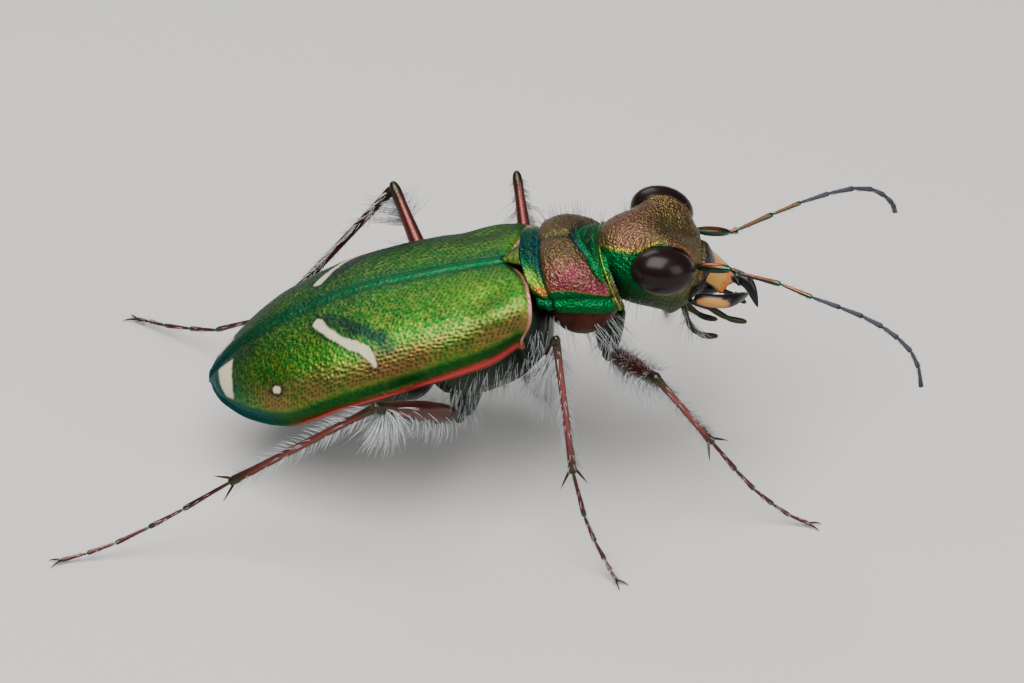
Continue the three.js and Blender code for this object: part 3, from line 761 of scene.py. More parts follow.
pronotum_width = profile([(0, 1.42), (0.3, 1.56), (1, 1.62), (1.6, 1.6), (2.1, 1.4)])
pronotum_crown = profile([
    (0, 0.02), (0.32, -0.03), (0.6, 0.16), (1.1, 0.25), (1.6, 0.14), (1.8, 0), (2.1, 0.04),
])
pronotum_margin = profile([(0, -0.95), (1, -1.08), (2.1, -1.2)])


def pronotum_place(along, across):
    station = along * PRONOTUM_LENGTH
    angle = (across - 0.5) * math.pi
    low = pronotum_margin(station)
    rise = pronotum_crown(station) - low
    side = np.sign(angle) * np.abs(np.sin(angle)) ** 0.85 * pronotum_width(station)
    bow = PRONOTUM_BOW * (1 - np.cos(angle))
    return on_prothorax(station + bow, side, low + rise * np.maximum(np.cos(angle), 0) ** 0.75)


def pronotum_lines(along, across):
    """Places in the pronotum: station from the rear edge, angle from the midline, and its furrows."""
    station = along * PRONOTUM_LENGTH
    angle = (across - 0.5) * math.pi
    turn = np.abs(angle)
    rear = bump(station - 0.40 + 0.04 * turn, 0.07)
    front_place = 1.36 + 0.34 * (1 - bump(angle, 0.3)) + 0.2 * step(turn, 0.5, 1.1)
    front = bump(station - front_place, 0.07) * (1 - step(turn, 0.9, 1.15))
    midline = bump(angle, 0.045) * step(station, 0.35, 0.5) * (1 - step(station, 1.3, 1.45))
    return station, angle, rear, front, midline, front_place


def make_pronotum():
    def relief(along, across, points):
        station, angle, rear, front, midline, _ = pronotum_lines(along, across)
        lobes = 0.06 * bump(station - 1.0, 0.42) * bump(np.abs(angle) - 0.7, 0.5)
        collar = 0.03 * bump(station - 1.97, 0.03) - 0.03 * bump(station - 1.91, 0.03)
        border = 0.04 * bump(np.abs(angle) - 1.5, 0.05) - 0.05 * bump(np.abs(angle) - 1.36, 0.06)
        field = bump(station - 1.0, 0.7)
        wrinkles = 0.0035 * np.sin(station * 110 + 7 * ripple(points, 0.22, 31)) * field
        fine = 0.006 * ripple(points, 0.08, 32) + 0.003 * ripple(points, 0.045, 34)
        return lobes + collar + border + wrinkles + fine - 0.08 * rear - 0.08 * front - 0.045 * midline

    def marks(along, across, points):
        station, angle, rear, front, midline, front_place = pronotum_lines(along, across)
        turn = np.abs(angle)
        between = step(station, 0.42, 0.5) * (1 - step(station, front_place - 0.06, front_place))
        below = step(turn - 0.1 * (station - 1.0), 1.17, 1.23)
        lobe = between * (1 - below)
        edge = 4 * lobe * (1 - lobe)
        uneven = 0.8 + 0.3 * ripple(points, 0.3, 33)
        behind = 1 - step(station, 0.3, 0.42)
        collar = step(station, 1.86, 1.92)
        blue = front * (1 - step(turn, 0.1, 0.6)) + rear + 0.6 * behind * (1 - step(turn, 0.2, 0.6))
        gold = behind * bump(turn - 0.85, 0.25) * 0.8 * uneven + 0.9 * bump(station - 1.97, 0.02)
        return {
            "lobe_side": step(turn, 0.35, 1.0) * uneven,
            "lobe_edge": edge * 0.8 * uneven,
            "groove": np.clip(1 - lobe + 0.4 * midline, 0, 1) * (1 - 0.5 * collar * step(turn, 0.7, 1.1)),
            "blue": np.clip(blue, 0, 1) * (1 - 0.6 * step(turn, 0.8, 1.25)) * 0.9,
            "gold": np.clip(gold, 0, 1),
            "spot": bump(np.hypot(station - 0.24, (turn - 1.1) * 1.2), 0.13),
        }

    piece = plate("pronotum_shield", 150, 240, pronotum_place, (1.3, 0, 5.4), relief, marks, thickness=0.1)
    settled(piece, PRONOTUM, "copper_shell", "pronotum")


prothorax_width = profile([(0.4, 1.15), (1.1, 1.52), (1.8, 1.5), (2.45, 1.15)])
prothorax_top = profile([(0.4, -0.5), (1.4, -0.4), (2.45, -0.55)])
prothorax_bottom = profile([(0.4, -1.75), (1.2, -2.2), (1.9, -2.15), (2.45, -1.75)])
FLANKS = (on_prothorax, 0.4, 2.45, prothorax_width, prothorax_top, prothorax_bottom)


def make_prosternum():
    def relief(along, across, points):
        bulge = 0.10 * bump(np.abs(across - 0.5) - 0.2, 0.09) * bump(along - 0.5, 0.3)
        return bulge + 0.008 * ripple(points, 0.12, 41)

    def marks(along, across, points):
        return {"edge": np.maximum(step(along, 0.86, 0.93), 1 - step(along, 0.08, 0.15))}

    settled(barrel("prothorax_flanks", FLANKS, 70, 96, relief, marks), FLANK, "underside", "prosternum")


# Head

head_width = profile([(-1, 1.0), (-0.4, 1.27), (0.1, 1.3), (0.6, 1.12), (1, 0.92)])
head_height = profile([(-1, 0.95), (-0.2, 1.14), (0.4, 1.02), (1, 0.72)])
head_cheek = profile([(-1, 1), (0, 1.02), (0.3, 1.15), (0.48, 1.36), (0.62, 1.2), (0.75, 0.95), (1, 1)])
head_brow = profile([(-1, 0), (-0.5, 0), (-0.1, 1), (0.35, 1), (0.75, 0), (1, 0)])


def head_place(along, across):
    forward = np.clip(along * 2 - 1, -1, 1)
    angle = across * 2 * math.pi
    closing = np.clip(1 - np.abs(forward) ** 3.2, 0, 1) ** 0.42
    side = np.sin(angle) * closing
    broad = head_brow(forward)
    above = np.maximum(np.cos(angle), 0) ** (1 - 0.72 * broad)
    below = np.minimum(np.cos(angle), 0) * head_cheek(forward)
    brow = BROW_RISE * broad * side * side * np.maximum(np.cos(angle), 0) * 2
    height = (above + below) * closing * head_height(forward) + brow
    return on_head(forward * HEAD_HALF_LENGTH, side * head_width(forward), height)


def make_head():
    def local(points):
        """Forward, sideways and up from the middle of the head."""
        x = points[..., 0] - HEAD_CENTRE[0]
        z = points[..., 2] - HEAD_CENTRE[1]
        turned = pitched(x, points[..., 1], z, (0, 0), -HEAD_PITCH)
        return turned[..., 0], turned[..., 1], turned[..., 2]

    def from_eye(points):
        offset = points.copy()
        offset[..., 1] = np.abs(offset[..., 1])
        return np.linalg.norm((offset - EYE_CENTRE) / EYE_SIZE, axis=-1)

    def relief(along, across, points):
        forward, side, height = local(points)
        above = step(height, 0.2, 0.7)
        brow = 0.03 * bump(from_eye(points) - 1.16, 0.08) * above
        frons = -0.08 * bump(forward - 0.45, 0.6) * bump(side, 0.5) * above
        by_eye = step(np.abs(side), 0.35, 0.8) * above * bump(forward - 0.3, 0.6)
        striae = 0.007 * np.sin(np.abs(side) * 85 + 2.5 * ripple(points, 0.4, 51)) * by_eye
        shelf = -0.10 * bump(forward - 1.12, 0.07) * step(height, 0.0, 0.3)
        fine = 0.006 * ripple(points, 0.08, 52) + 0.004 * ripple(points, 0.045, 53)
        return brow + frons + striae + shelf + fine * (1 - step(forward, 1.2, 1.4))

    def marks(along, across, points):
        forward, side, height = local(points)
        above = step(height, 0.25, 0.6)
        near_eye = from_eye(points)
        around = np.abs((across + 0.5) % 1 - 0.5) * 2 * math.pi
        behind = (1 - step(forward, -0.2, 0.15)) * step(around, 0.84, 0.94)
        orbit = bump(near_eye - 1.12, 0.12)
        inner = step(np.abs(side), 0.5, 0.7) * above * bump(forward - 0.45, 0.42)
        line = bump(np.sin(np.abs(side) * 21 + forward * 2.5), 0.4)
        gold = bump(around - 0.88, 0.05) * (1 - step(forward, -0.3, 0.0))
        return {
            "nape": (1 - step(forward, -0.9, 0.1)) * step(height, 0.4, 0.8),
            "temple": np.clip(np.maximum(behind, orbit * (1 - 0.9 * above)), 0, 1),
            "streak": np.clip(inner * line * 0.5 + 0.12 * bump(near_eye - 1.3, 0.025) * above, 0, 1),
            "gold": gold * (0.5 + 0.3 * ripple(points, 0.15, 54)),
            # Painted shade: a black line in the crease where the eye meets the head
            "socket": bump(np.maximum(near_eye - 1.02, 0), 0.06),
            "front": step(forward, 1.12, 1.2) * step(height, -0.2, 0.1),
            # Near black under the front of the head around the mouth: partly the dark mouth, partly painted
            # shade under the head
            "mouth": step(forward, 0.85, 1.0) * (1 - step(height, 0.0, 0.25)),
            "cheek": (1 - step(height, -0.4, 0.1)) * 0.85,
        }

    piece = plate("head_capsule", 200, 300, head_place, (3.45, 0, 6.1), relief, marks, wrap=True)
    settled(piece, HEAD, "bronze_head", "head")


def make_eyes():
    for name, side in SIDES:
        fresh()
        bpy.ops.mesh.primitive_uv_sphere_add(segments=64, ring_count=40, radius=1)
        eye = named(f"eye_globe_{name}")
        turn = Matrix.Rotation(side * math.radians(-8), 4, "Z") @ Matrix.Rotation(math.radians(12), 4, "Y")
        place = Matrix.Translation((EYE_CENTRE[0], side * EYE_CENTRE[1], EYE_CENTRE[2]))
        eye.data.transform(place @ turn @ Matrix.Diagonal((*EYE_SIZE, 1)))
        smoothed(eye)
        settled(eye, EYE, "eye", f"eye_{name}")


# Mouth

def make_labrum():
    """Upper lip: a cream plate whose front edge has three blunt teeth."""

    def place(along, across):
        across = across * 2 - 1
        teeth = 0.09 * (bump(across, 0.12) + bump(np.abs(across) - 0.42, 0.12))
        reach = 0.58 - 0.16 * across ** 2 + teeth
        forward = -0.12 + along * (reach + 0.12)
        sag = -0.18 * across ** 2 - 0.10 * along ** 2
        down = math.radians(34)
        x = 4.95 + forward * math.cos(down) + sag * math.sin(down)
        z = 6.02 - forward * math.sin(down) + sag * math.cos(down)
        return np.stack([x, across * 0.76, z], -1)

    def marks(along, across, points):
        edge = step(along, 0.93, 0.99)
        aside = np.abs(across * 2 - 1)
        pits = [bump(np.hypot((along - 0.78) * 0.7, (aside - at) * 0.76), 0.022) for at in (0.13, 0.4, 0.68)]
        return {"dark": np.maximum(0.8 * edge, np.max(pits, axis=0)), "warm": step(along, 0.6, 0.95)}

    piece = plate("upper_lip", 40, 70, place, (4.9, 0, 5.2), None, marks, thickness=0.1)
    settled(piece, MOUTH_HORN, "cream_horn", "labrum")


def all_dark(*_):
    return {"dark": 1}


def make_mouth():
    """Floor of the mouth, a dark sheet of painted shade that fills the room behind and between the jaws."""
    width = profile([(0, 0.62), (0.6, 0.56), (1, 0.3)])
    path = [(4.1, 0, 5.55), (4.7, 0, 5.5), (5.25, 0, 5.35)]
    piece = tube("mouth_floor_shade", path, width, 26, 28, 0.6, all_dark)
    settled(piece, MOUTH_HORN, "black_horn")


MOUTH_PARTS = {
    "right": {
        "jaw": [(4.42, -1.02, 5.56), (5.2, -1.08, 5.53), (5.82, -0.44, 5.32)],
        "tooth": [(5.4, -0.9, 5.45), (5.5, -0.4, 5.35)],
        "maxillary": [(4.3, -0.78, 5.35), (4.8, -0.8, 5.15), (5.3, -0.72, 4.77), (5.78, -0.62, 4.58)],
        "labial": [(4.15, -0.38, 5.1), (4.37, -0.42, 4.33), (4.68, -0.4, 4.04), (5.08, -0.36, 3.97)],
    },
    "left": {
        "jaw": [(4.5, 0.9, 5.4), (5.3, 0.82, 5.06), (5.8, 0.58, 4.95), (6.07, 0.3, 4.38)],
        "tooth": [(5.5, 0.75, 5.02), (5.6, 0.4, 4.96)],
        "maxillary": [(4.3, 0.78, 5.2), (4.85, 0.85, 4.75), (5.4, 0.85, 4.4), (5.8, 0.75, 4.2)],
        "labial": [(4.15, 0.38, 5.1), (4.35, 0.42, 4.35), (4.7, 0.4, 4.05), (5.08, 0.36, 3.97)],
    },
}


jaw_width = profile([(0, 0.12), (0.3, 0.15), (0.6, 0.15), (0.82, 0.1), (1, 0.03)])
tooth_width = profile([(0, 0.13), (1, 0.02)])


def palp_width(along):
    """Three beads, thinnest at the joints."""
    return 0.06 + 0.022 * np.abs(np.sin(along * 3 * math.pi)) ** 0.6


def make_jaws():
    for name, side in SIDES:
        parts = MOUTH_PARTS[name]
        outer = 0.5 + side * -0.25

        def patch(along, across, points):
            """Black horn with a cream patch on the outer face of its base."""
            from_patch = np.hypot((along - 0.27) / 0.25, (across - outer) / 0.17)
            return {"dark": step(from_patch, 0.82, 0.96), "warm": 0.6 * step(from_patch, 0.5, 0.85)}

        horn = tube(f"horn_{name}", parts["jaw"], jaw_width, 48, 32, 1.2, patch)
        tooth = tube(f"tooth_{name}", parts["tooth"], tooth_width, 10, 12, marks=all_dark)
        settled(joined(f"jaw_{name}", [horn, tooth]), MOUTH_HORN, "black_horn", f"mandible_{name}")
        for part in ("maxillary", "labial"):
            palp = tube(f"{part}_palp_jointed_{name}", parts[part], palp_width, 40, 14)
            settled(palp, PALP, "black_horn", f"{part}_palp_{name}")


# Feelers

ANTENNA_JOINTS = {
    "right": [
        (4.45, -0.8, 6.38), (5.34, -1.2, 6.57), (5.5, -1.3, 6.53), (6.55, -1.85, 6.57),
        (7.32, -2.25, 6.45), (8, -2.6, 6.39), (8.54, -2.9, 6.33), (9.01, -3.15, 6.2),
        (9.39, -3.4, 6.03), (9.71, -3.6, 5.77), (9.9, -3.75, 5.39), (9.97, -3.85, 4.88),
    ],
    "left": [
        (4.45, 0.8, 6.38), (5.36, 1.2, 6.04), (5.55, 1.3, 6.05), (6.45, 1.85, 6.15),
        (7.16, 2.25, 6.23), (7.88, 2.6, 6.27), (8.51, 2.9, 6.22), (8.98, 3.15, 6.02),
        (9.29, 3.4, 5.68), (9.5, 3.6, 5.32), (9.57, 3.72, 5.1), (9.6, 3.8, 4.9),
    ],
}
ANTENNA_LENGTHS = (("scape", 0, 1), ("base", 1, 4), ("middle", 4, 8), ("tip", 8, 11))
SCAPE_WIDTH = 0.14
feeler_width = profile([(1, 0.085), (3, 0.062), (6, 0.068), (10, 0.06), (11, 0.05)])


def make_feelers():
    for name, _ in SIDES:
        joints = ANTENNA_JOINTS[name]
        beads = [segment("scape", joints[0], joints[1], SCAPE_WIDTH)]
        for i in range(1, 11):
            beads.append(segment("bead", joints[i], joints[i + 1], float(feeler_width(i))))
        for length, first, last in ANTENNA_LENGTHS:
            piece = joined(f"feeler_{name}_{length}", beads[first:last])
            slot = "copper_leg" if length == "scape" else "grey_feeler"
            settled(piece, FEELER_METAL if first < 4 else FEELER_GREY, slot, f"antenna_{name}_{length}")


# Legs

# From the root of the hip over its end, the knee and the ankle to the five joints of the foot
LEGS = {
    "fore_right": [
        (2.36, -0.62, 5.05), (2.32, -0.85, 3.85), (3.5, -3.1, 4.6), (4.89, -2.7, 2.4),
        (5.5, -2.7, 1.53), (5.96, -2.75, 0.98), (6.44, -2.82, 0.57), (6.84, -2.9, 0.3), (7.32, -2.98, 0.1),
    ],
    "mid_right": [
        (0.52, -0.8, 3.45), (0.62, -1.25, 2.9), (1, -3.5, 6.05), (1.43, -4.2, 2.55),
        (1.72, -4.5, 1.41), (1.98, -4.75, 0.83), (2.23, -5, 0.45), (2.36, -5.18, 0.27), (2.5, -5.34, 0.1),
    ],
    "hind_right": [
        (-1.2, -1, 2.85), (-1.35, -1.4, 2.3), (-3.38, -4.45, 4.72), (-7.04, -4.05, 2.15),
        (-8.23, -4.05, 1.31), (-9.09, -4.15, 0.83), (-9.92, -4.28, 0.44), (-10.62, -4.4, 0.22),
        (-11.25, -4.52, 0.1),
    ],
    "fore_left": [
        (2.36, 0.62, 5.05), (2.45, 1, 4.1), (3.1, 3.2, 5.2), (3.5, 4.6, 3.1),
        (3.62, 5.1, 2), (3.72, 5.5, 1.25), (3.8, 5.8, 0.7), (3.86, 6, 0.35), (3.92, 6.25, 0.1),
    ],
    "mid_left": [
        (0.52, 0.8, 3.45), (0.62, 1.25, 2.9), (0.05, 3.7, 6.05), (0.45, 5, 2.66),
        (0.62, 5.25, 1.5), (0.78, 5.5, 0.85), (0.92, 5.7, 0.47), (1.05, 5.85, 0.27), (1.2, 6.02, 0.1),
    ],
    "hind_left": [
        (-1.2, 1, 2.85), (-1.35, 1.4, 2.3), (-3.05, 4.1, 5.45), (-6.18, 3.4, 1.97),
        (-7.67, 4.3, 0.9), (-8.34, 4.9, 0.53), (-9.01, 5.4, 0.28), (-9.41, 5.7, 0.2), (-9.77, 5.95, 0.1),
    ],
}
THIGH_WIDTH = {"fore": 0.26, "mid": 0.24, "hind": 0.27}
TIBIA_WIDTH = {"fore": 0.105, "mid": 0.105, "hind": 0.11}
TROCHANTER_REACH = 0.34
TARSUS_WIDTH = 0.07
SPUR_WIDTH = 0.045
CLAW_WIDTH = 0.04
CLAW_HEIGHT = 0.045
coxa_width = profile([(0, 0.42), (0.5, 0.36), (1, 0.24)])
trochanter_width = profile([(0, 0.2), (0.5, 0.22), (1, 0.15)])

# Sides, smoothing levels and rings of each straight segment: place, half width, half height and lift
SHAFTS = {
    "femur": (16, 2, [
        (0.0, 0.35, 0.35), (0.03, 0.6, 0.62), (0.2, 0.95, 1.05, 0.02), (0.45, 0.92, 1.0, 0.02),
        (0.72, 0.66, 0.72), (0.9, 0.52, 0.56), (0.96, 0.6, 0.64), (1.01, 0.5, 0.54), (1.04, 0.2, 0.2),
    ]),
    "tibia": (14, 2, [
        (-0.02, 0.5, 0.5), (0.01, 1.0, 1.1), (0.05, 1.15, 1.25), (0.1, 0.9, 0.95), (0.5, 0.88, 0.95),
        (0.88, 0.92, 1.0), (0.96, 1.2, 1.25), (1.0, 1.05, 1.1), (1.01, 0.4, 0.4),
    ]),
    "bead": (12, 2, [
        (0.0, 0.4, 0.4), (0.03, 0.6, 0.6), (0.12, 0.72, 0.72), (0.55, 0.82, 0.82),
        (0.88, 1.12, 1.12), (0.96, 1.05, 1.05), (1.0, 0.5, 0.5),
    ]),
    "scape": (14, 2, [
        (0.0, 0.3, 0.3), (0.05, 0.5, 0.5), (0.3, 0.9, 0.9), (0.6, 1.0, 1.0), (0.88, 0.75, 0.75),
        (0.97, 0.45, 0.45), (1.0, 0.3, 0.3),
    ]),
    "spur": (8, 1, [(0, 0.8, 0.8), (0.15, 1, 1), (0.6, 0.6, 0.6, 0.3), (1.0, 0.08, 0.08, 1.0)]),
    "claw": (8, 1, [(0, 0.8, 1.0), (0.3, 0.75, 0.9, 0.35), (0.65, 0.5, 0.6, 0.3), (1.0, 0.08, 0.1, -0.9)]),
}


def make_legs():
    for name, leg in LEGS.items():
        root, hip, knee, ankle, *toes = (Vector(place) for place in leg)
        pair = name.split("_")[0]
        outward = (knee - hip).normalized()
        socket = hip + outward * TROCHANTER_REACH
        coxa = tube(f"coxa_{name}", [root, root.lerp(hip, 0.6), hip], coxa_width, 26, 20)
        ring = tube(f"trochanter_{name}", [hip, socket], trochanter_width, 14, 16)
        settled(joined(f"hip_{name}", [coxa, ring]), UNDERSIDE, "underside", f"{name}_coxa")
        thigh = segment("femur", socket - outward * 0.08, knee, THIGH_WIDTH[pair])
        settled(joined(f"femur_{name}_shaft", [thigh]), LEG, "copper_leg", f"{name}_femur")
        width = TIBIA_WIDTH[pair]
        bend = (knee - hip).cross(ankle - knee).normalized()
        up = bend.cross(ankle - knee).normalized()
        up = up if up.dot(knee - hip) > 0 else -up
        shin = segment("tibia", knee, ankle, width, up)
        along = (ankle - knee).normalized()
        spurs = []
        for turn in (-1, 1):
            start = ankle - along * 0.08 + bend * turn * width * 0.7
            end = ankle + along * 0.42 + bend * turn * 0.36 - up * 0.1
            spurs.append(segment("spur", start, end, SPUR_WIDTH, up))
        settled(joined(f"tibia_{name}_shaft", [shin]), LEG, "copper_leg", f"{name}_tibia")
        settled(joined(f"spurs_{name}", spurs), CLAW, "copper_leg")
        joints = zip([ankle, *toes], toes)
        beads = [segment("bead", a, b, TARSUS_WIDTH - 0.004 * i) for i, (a, b) in enumerate(joints)]
        settled(joined(f"foot_{name}", beads), TARSUS, "copper_leg", f"{name}_tarsus")
        heading = toes[4] - toes[3]
        heading.z = 0
        heading.normalize()
        claws = []
        for turn in (-1, 1):
            end = toes[4] + heading * 0.32 + Vector((-heading.y, heading.x, 0)) * turn * 0.17
            end.z = CLAW_HEIGHT
            claws.append(segment("claw", toes[4] - heading * 0.03, end, CLAW_WIDTH))
        settled(joined(f"claws_{name}", claws), CLAW, "copper_leg")


# Hairs and bristles

TILES = 9
TILE_MARGIN = 0.01
HAIR_SPOT = np.array([(0.0008, 0), (0, 0.0008), (0, 0.002)])
HAIR_SIDES = 3
HAIR_TIP = 0.12
LOWEST = 0.01


class Coat:
    """Roots, directions, bends, radii and map places of many hairs that become one mesh."""

    def __init__(self):
        self.rows = []

    def add(self, roots, reach, bend, radius, map_u, map_v):
        """One patch of hairs on its own tile of the map. reach and bend are vectors in millimetres."""
        across, up = len(self.rows) % TILES, len(self.rows) // TILES
        spots = np.stack([map_u, map_v], -1) * (1 / TILES - 2 * TILE_MARGIN)
        spots = np.array([across, up]) / TILES + TILE_MARGIN + spots
        self.rows.append(np.column_stack([roots, reach, bend, np.full(len(roots), radius), spots]))

    def build(self, name, template, material, slot):
        """Every hair is the template, stretched along its reach and bent more towards its tip."""
        hairs = np.concatenate(self.rows)
        shape = np.array([corner.co for corner in template.data.vertices])
        reach, bend, radius = hairs[:, None, 3:6], hairs[:, None, 6:9], hairs[:, None, 9:10]
        ahead = unit(reach)
        side = unit(np.cross(ahead, np.where(np.abs(ahead[..., 2:]) > 0.9, [1.0, 0, 0], [0, 0, 1.0])))
        along = shape[None, :, 2:]
        points = hairs[:, None, 0:3] + reach * along + bend * along ** 2
        points = points + side * (shape[None, :, 0:1] * radius)
        points = points + np.cross(ahead, side) * (shape[None, :, 1:2] * radius)
        points[..., 2] = np.clip(points[..., 2], LOWEST, TOP)
        count = len(shape)
        faces = [tuple(face.vertices) for face in template.data.polygons]
        starts = range(0, len(hairs) * count, count)
        all_faces = [tuple(corner + start for corner in face) for start in starts for face in faces]
        mesh = bpy.data.meshes.new(name)
        mesh.from_pydata(points.reshape(-1, 3).tolist(), [], all_faces)
        piece = bpy.data.objects.new(name, mesh)
        bpy.context.collection.objects.link(piece)
        corners = np.empty(len(mesh.loops), dtype=np.int64)
        mesh.loops.foreach_get("vertex_index", corners)
        spots = hairs[corners // count, 10:12] + shape[corners % count] @ HAIR_SPOT
        mesh.uv_layers.new(name="OFBake").data.foreach_set("uv", spots.ravel())
        edited(piece, lambda: bpy.ops.mesh.normals_make_consistent(inside=False))
        smoothed(piece)
        settled(piece, material, slot)


def hair_template():
    """One tapered hair from z = 0 to 1, with a radius of 1 at its root."""
    fresh()
    bpy.ops.mesh.primitive_cone_add(
        vertices=HAIR_SIDES, radius1=1, radius2=HAIR_TIP, depth=1, location=(0, 0, 0.5)
    )
    hair = named("hair_template")
    bpy.ops.object.transform_apply()
    for height in (0.35, 0.7):
        edited(hair, lambda: bpy.ops.mesh.bisect(plane_co=(0, 0, height), plane_no=(0, 0, 1)))
    return hair


def limb_hairs(coat, start, end, limb, count, length, span, toward, spread, lean, radius, droop, ragged=0.25):
    """Hairs on a straight limb segment, over its whole girth or on the side that looks toward a vector."""
    start, end = np.array(start, float), np.array(end, float)
    axis = unit(end - start)
    toward = np.array(toward, float)
    first = unit(toward - axis * (toward @ axis))
    second = np.cross(axis, first)
    place = seeded.uniform(span[0], span[1], count)
    angle = seeded.normal(0, 0.5, count) * spread if spread < 3 else seeded.uniform(-spread, spread, count)
    radial = first * np.cos(angle)[:, None] + second * np.sin(angle)[:, None]
    roots = start + (end - start) * place[:, None] + radial * (limb * 0.8)
    sway = seeded.normal(0, 0.12, (count, 3))
    heading = unit(radial + axis * lean + sway)
    long = length * seeded.uniform(1 - ragged, 1 + ragged, count)[:, None]
    bend = (axis * 0.3 - np.array([0, 0, droop])) * long
    coat.add(roots, heading * long, bend, radius, place, (angle / (2 * math.pi)) % 1)


def surface_hairs(coat, place, count, along, across, inside, length, toward, lift, radius, droop, ragged=0.3):
    """Hairs at random points of a surface, which lean toward a vector and stand out by the lift."""
    u = seeded.uniform(*along, count)
    v = seeded.uniform(*across, count)
    points = place(u, v)
    normals = unit(np.cross(place(u + 1e-3, v) - points, place(u, v + 1e-3) - points))
    normals = normals * np.sign(np.sum(normals * (points - np.array(inside)), axis=-1, keepdims=True))
    sway = seeded.normal(0, 0.13, (count, 3))
    heading = unit(np.array(toward) * (1 - lift) + normals * lift + sway)
    long = length * seeded.uniform(1 - ragged, 1 + ragged, count)[:, None]
    ahead = points[:, 0]
    girth = np.arctan2(points[:, 1], points[:, 2]) / (2 * math.pi) % 1
    map_u = (ahead - ahead.min()) / max(np.ptp(ahead), 1e-6)
    coat.add(points, heading * long, np.array([0, 0, -droop]) * long, radius, map_u, girth)


DOWN, UP = (0, 0, -1), (0, 0, 1)
ALL_ROUND = 4

# Hairs on the thighs: share of the thickness, count, length, span, toward, spread, lean, radius and droop
THIGH_HAIRS = {
    "fore": [
        (1, 280, 0.62, (0.1, 0.95), DOWN, 1.3, 0.5, 0.010, 0.1),
        (1, 180, 0.34, (0.2, 0.98), UP, 1.3, 0.6, 0.010, 0.0),
    ],
    "mid": [(1, 360, 0.66, (0.12, 0.86), (0.1, 0.4, -1), 1.2, -0.5, 0.011, 0.35)],
    "hind": [
        (1, 150, 0.5, (0.1, 0.7), DOWN, 1.3, 0.4, 0.010, 0.2),
        (0.7, 150, 0.85, (0.78, 0.95), (0.15, 0, -1), 1.3, 0.25, 0.015, 0.15),
    ],
}
SHIN_HAIRS = {"fore": (60, 0.24), "mid": (90, 0.22), "hind": (70, 0.34)}


def leg_coat(coat):
    """Bristles of the legs: fans on the thighs and rows along the shins."""
    for name, leg in LEGS.items():
        _, hip, knee, ankle, *toes = (np.array(place) for place in leg)
        pair, side = name.split("_")
        outward = (1, dict(SIDES)[side], 1)
        thin = TIBIA_WIDTH[pair]
        bend = unit(np.cross(knee - hip, ankle - knee))
        for share, count, length, span, toward, *rest in THIGH_HAIRS[pair]:
            thick = THIGH_WIDTH[pair] * share
            limb_hairs(coat, hip, knee, thick, count, length, span, np.multiply(toward, outward), *rest)
        count, length = SHIN_HAIRS[pair]
        for toward in (-bend, bend):
            limb_hairs(coat, knee, ankle, thin, count, length, (0.03, 0.97), toward, 0.35, 0.9, 0.012, 0, 0.2)
        limb_hairs(coat, knee, ankle, thin, count, length * 0.7, (0.05, 0.95), UP, ALL_ROUND, 0.9, 0.010, 0)
        if pair != "hind":
            limb_hairs(coat, knee, ankle, thin, 110, 0.16, (0.5, 0.95), bend, 1.2, 0.7, 0.010, 0.0)
        for a, b in zip([ankle, *toes], toes):
            limb_hairs(coat, a, b, 0.06, 26, 0.13, (0.1, 1), UP, ALL_ROUND, 1.1, 0.008, 0.0)


def body_coat(coat):
    """White hairs along the chest, under the neck and on the cheeks."""
    chest, tail, flanks = (round_barrel(*shape, rounded=False) for shape in (CHEST, ABDOMEN, FLANKS))
    for low, high in ((0.56, 0.76), (0.24, 0.44)):
        surface_hairs(
            coat, chest, 240, (0.1, 0.95), (low, high), on_trunk(-1.5, 0, -1.2),
            0.38, (-0.5, 0, -0.8), 0.45, 0.007, 0.3,
        )
        surface_hairs(
            coat, tail, 60, (0.55, 1.0), (low, high), on_trunk(-5, 0, -0.8),
            0.26, (-0.8, 0, -0.4), 0.4, 0.008, 0.2,
        )
        surface_hairs(
            coat, flanks, 50, (0.15, 0.9), (low - 0.02, high - 0.02), on_prothorax(1.1, 0, -1.3),
            0.9, (0.6, 0, -0.75), 0.42, 0.009, 0.1, 0.35,
        )
    for name, side in SIDES:
        for pair, count in (("fore", 60), ("mid", 120), ("hind", 60)):
            root, hip = LEGS[f"{pair}_{name}"][:2]
            limb_hairs(coat, root, hip, 0.36, count, 0.4, (0.2, 1), (0, side, -0.2), 1.6, 0.6, 0.009, 0.2)
        root, bend, knuckle = MOUTH_PARTS[name]["labial"][:3]
        limb_hairs(coat, root, bend, 0.08, 26, 0.5, (0.2, 1), (0.2, side, -0.2), 1.4, 0.4, 0.009, 0.1)
        limb_hairs(coat, bend, knuckle, 0.08, 18, 0.32, (0, 0.9), (0.2, side, -0.6), 1.4, 0.4, 0.009, 0.1)


def fine_coat(coat):
    """Sparse fine hairs on the head, the pronotum and the feelers."""
    for place, count, along, across, inside, *rest in (
        (pronotum_place, 170, (0.1, 0.9), (0.12, 0.88), (1.3, 0, 5.2), 0.42, (-0.1, 0, 0), 0.92, 0.006, 0.0),
        (head_place, 60, (0.12, 0.8), (-0.13, 0.13), (3.4, 0, 5.8), 0.34, (0.1, 0, 0), 0.9, 0.006, 0.0),
        (head_place, 36, (0.3, 0.95), (0.32, 0.68), (3.4, 0, 5.8), 0.5, (0.4, 0, -0.5), 0.7, 0.008, 0.1),
    ):
        surface_hairs(coat, place, count, along, across, inside, *rest)
    for name, _ in SIDES:
        joints = ANTENNA_JOINTS[name]
        for i, (start, end) in enumerate(zip(joints, joints[1:])):
            count, length = (14, 0.16) if i < 4 else (46, 0.06)
            limb_hairs(coat, start, end, 0.06, count, length, (0.05, 1), UP, ALL_ROUND, 0.9, 0.006, 0)


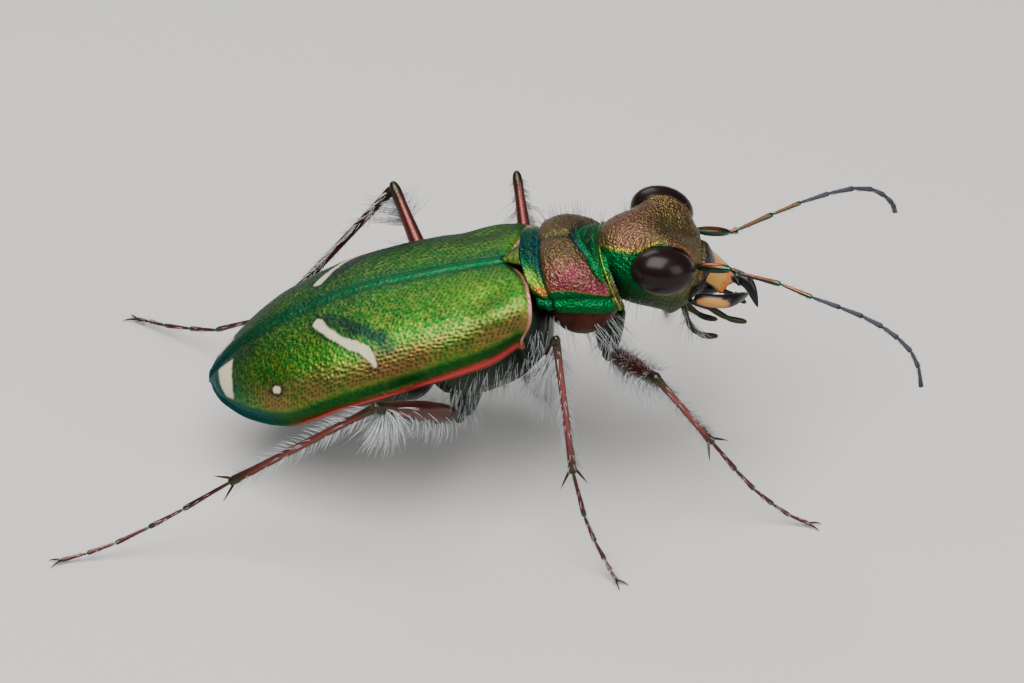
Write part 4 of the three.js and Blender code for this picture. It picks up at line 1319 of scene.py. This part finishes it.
def make_coats():
    template = hair_template()
    for name, grow, material, slot in (
        ("hairs_of_legs", leg_coat, HAIR, "copper_leg"),
        ("hairs_of_body", body_coat, HAIR, "underside"),
        ("fine_hairs", fine_coat, DARK_HAIR, "bronze_head"),
    ):
        coat = Coat()
        grow(coat)
        coat.build(name, template, material, slot)
    bpy.data.objects.remove(template)


# Stage: floor, light and camera

def make_floor():
    fresh()
    bpy.ops.mesh.primitive_plane_add(size=1.2, location=(0, 0, 0))
    floor = bpy.context.object
    floor.name = "floor"
    material = bpy.data.materials.new("floor_pale")
    material.use_nodes = True
    shader = material.node_tree.nodes["Principled BSDF"]
    shader.inputs["Base Color"].default_value = (0.5, 0.49, 0.475, 1)
    shader.inputs["Roughness"].default_value = 0.8
    floor.data.materials.append(material)


def make_lights():
    world = bpy.data.worlds.new("studio")
    bpy.context.scene.world = world
    world.use_nodes = True
    background = world.node_tree.nodes["Background"]
    background.inputs["Color"].default_value = (0.93, 0.96, 1.0, 1)
    background.inputs["Strength"].default_value = 0.13
    lamps = (
        ("key", (-0.02, -0.05, 0.15), 0.15, 0.62, (1.0, 0.98, 0.95)),
        ("back", (-0.06, 0.14, 0.12), 0.10, 0.11, (0.92, 0.96, 1.0)),
        ("fill", (0.14, -0.10, 0.08), 0.10, 0.13, (1.0, 0.97, 0.94)),
    )
    for name, place, size, power, color in lamps:
        lamp = bpy.data.lights.new(name, "AREA")
        lamp.size = size
        lamp.energy = power
        lamp.color = color
        holder = bpy.data.objects.new(name, lamp)
        holder.location = place
        holder.rotation_euler = (Vector((0, 0, 0.004)) - Vector(place)).to_track_quat("-Z", "Y").to_euler()
        bpy.context.collection.objects.link(holder)


CAMERA_HEIGHT_ANGLE = math.radians(35)
CAMERA_DISTANCE = 215.0
FOCAL_PIXELS = 8600.0
IMAGE_WIDTH, IMAGE_HEIGHT = 1024, 683
FLOOR_LINE = 458.0
ROOT_COLUMN = 515.0
PIXELS_PER_MM = FOCAL_PIXELS / CAMERA_DISTANCE


def make_camera():
    """The photograph's view: level from side to side, looking down on the right flank."""
    tilt = CAMERA_HEIGHT_ANGLE
    aim_height = (FLOOR_LINE - IMAGE_HEIGHT / 2) / (PIXELS_PER_MM * math.cos(tilt))
    aim = Vector(((IMAGE_WIDTH / 2 - ROOT_COLUMN) / PIXELS_PER_MM, 0, aim_height))
    place = aim + Vector((0, -math.cos(tilt), math.sin(tilt))) * CAMERA_DISTANCE
    camera = bpy.data.cameras.new("camera")
    camera.sensor_width = 36
    camera.sensor_fit = "HORIZONTAL"
    camera.lens = 36 * FOCAL_PIXELS / IMAGE_WIDTH
    camera.clip_start = 0.01
    camera.clip_end = 10
    holder = bpy.data.objects.new("camera", camera)
    holder.location = SHIFT + place * MM
    holder.rotation_euler = (math.pi / 2 - tilt, 0, 0)
    bpy.context.collection.objects.link(holder)
    bpy.context.scene.camera = holder


make_wing_cases()
make_scutellum()
make_abdomen()
make_pterothorax()
make_pronotum()
make_prosternum()
make_head()
make_eyes()
make_labrum()
make_mouth()
make_jaws()
templates = {kind: shaft(f"{kind}_template", *shape) for kind, shape in SHAFTS.items()}
make_legs()
make_feelers()
for each in templates.values():
    bpy.data.objects.remove(each)
make_coats()
make_floor()
make_lights()
make_camera()
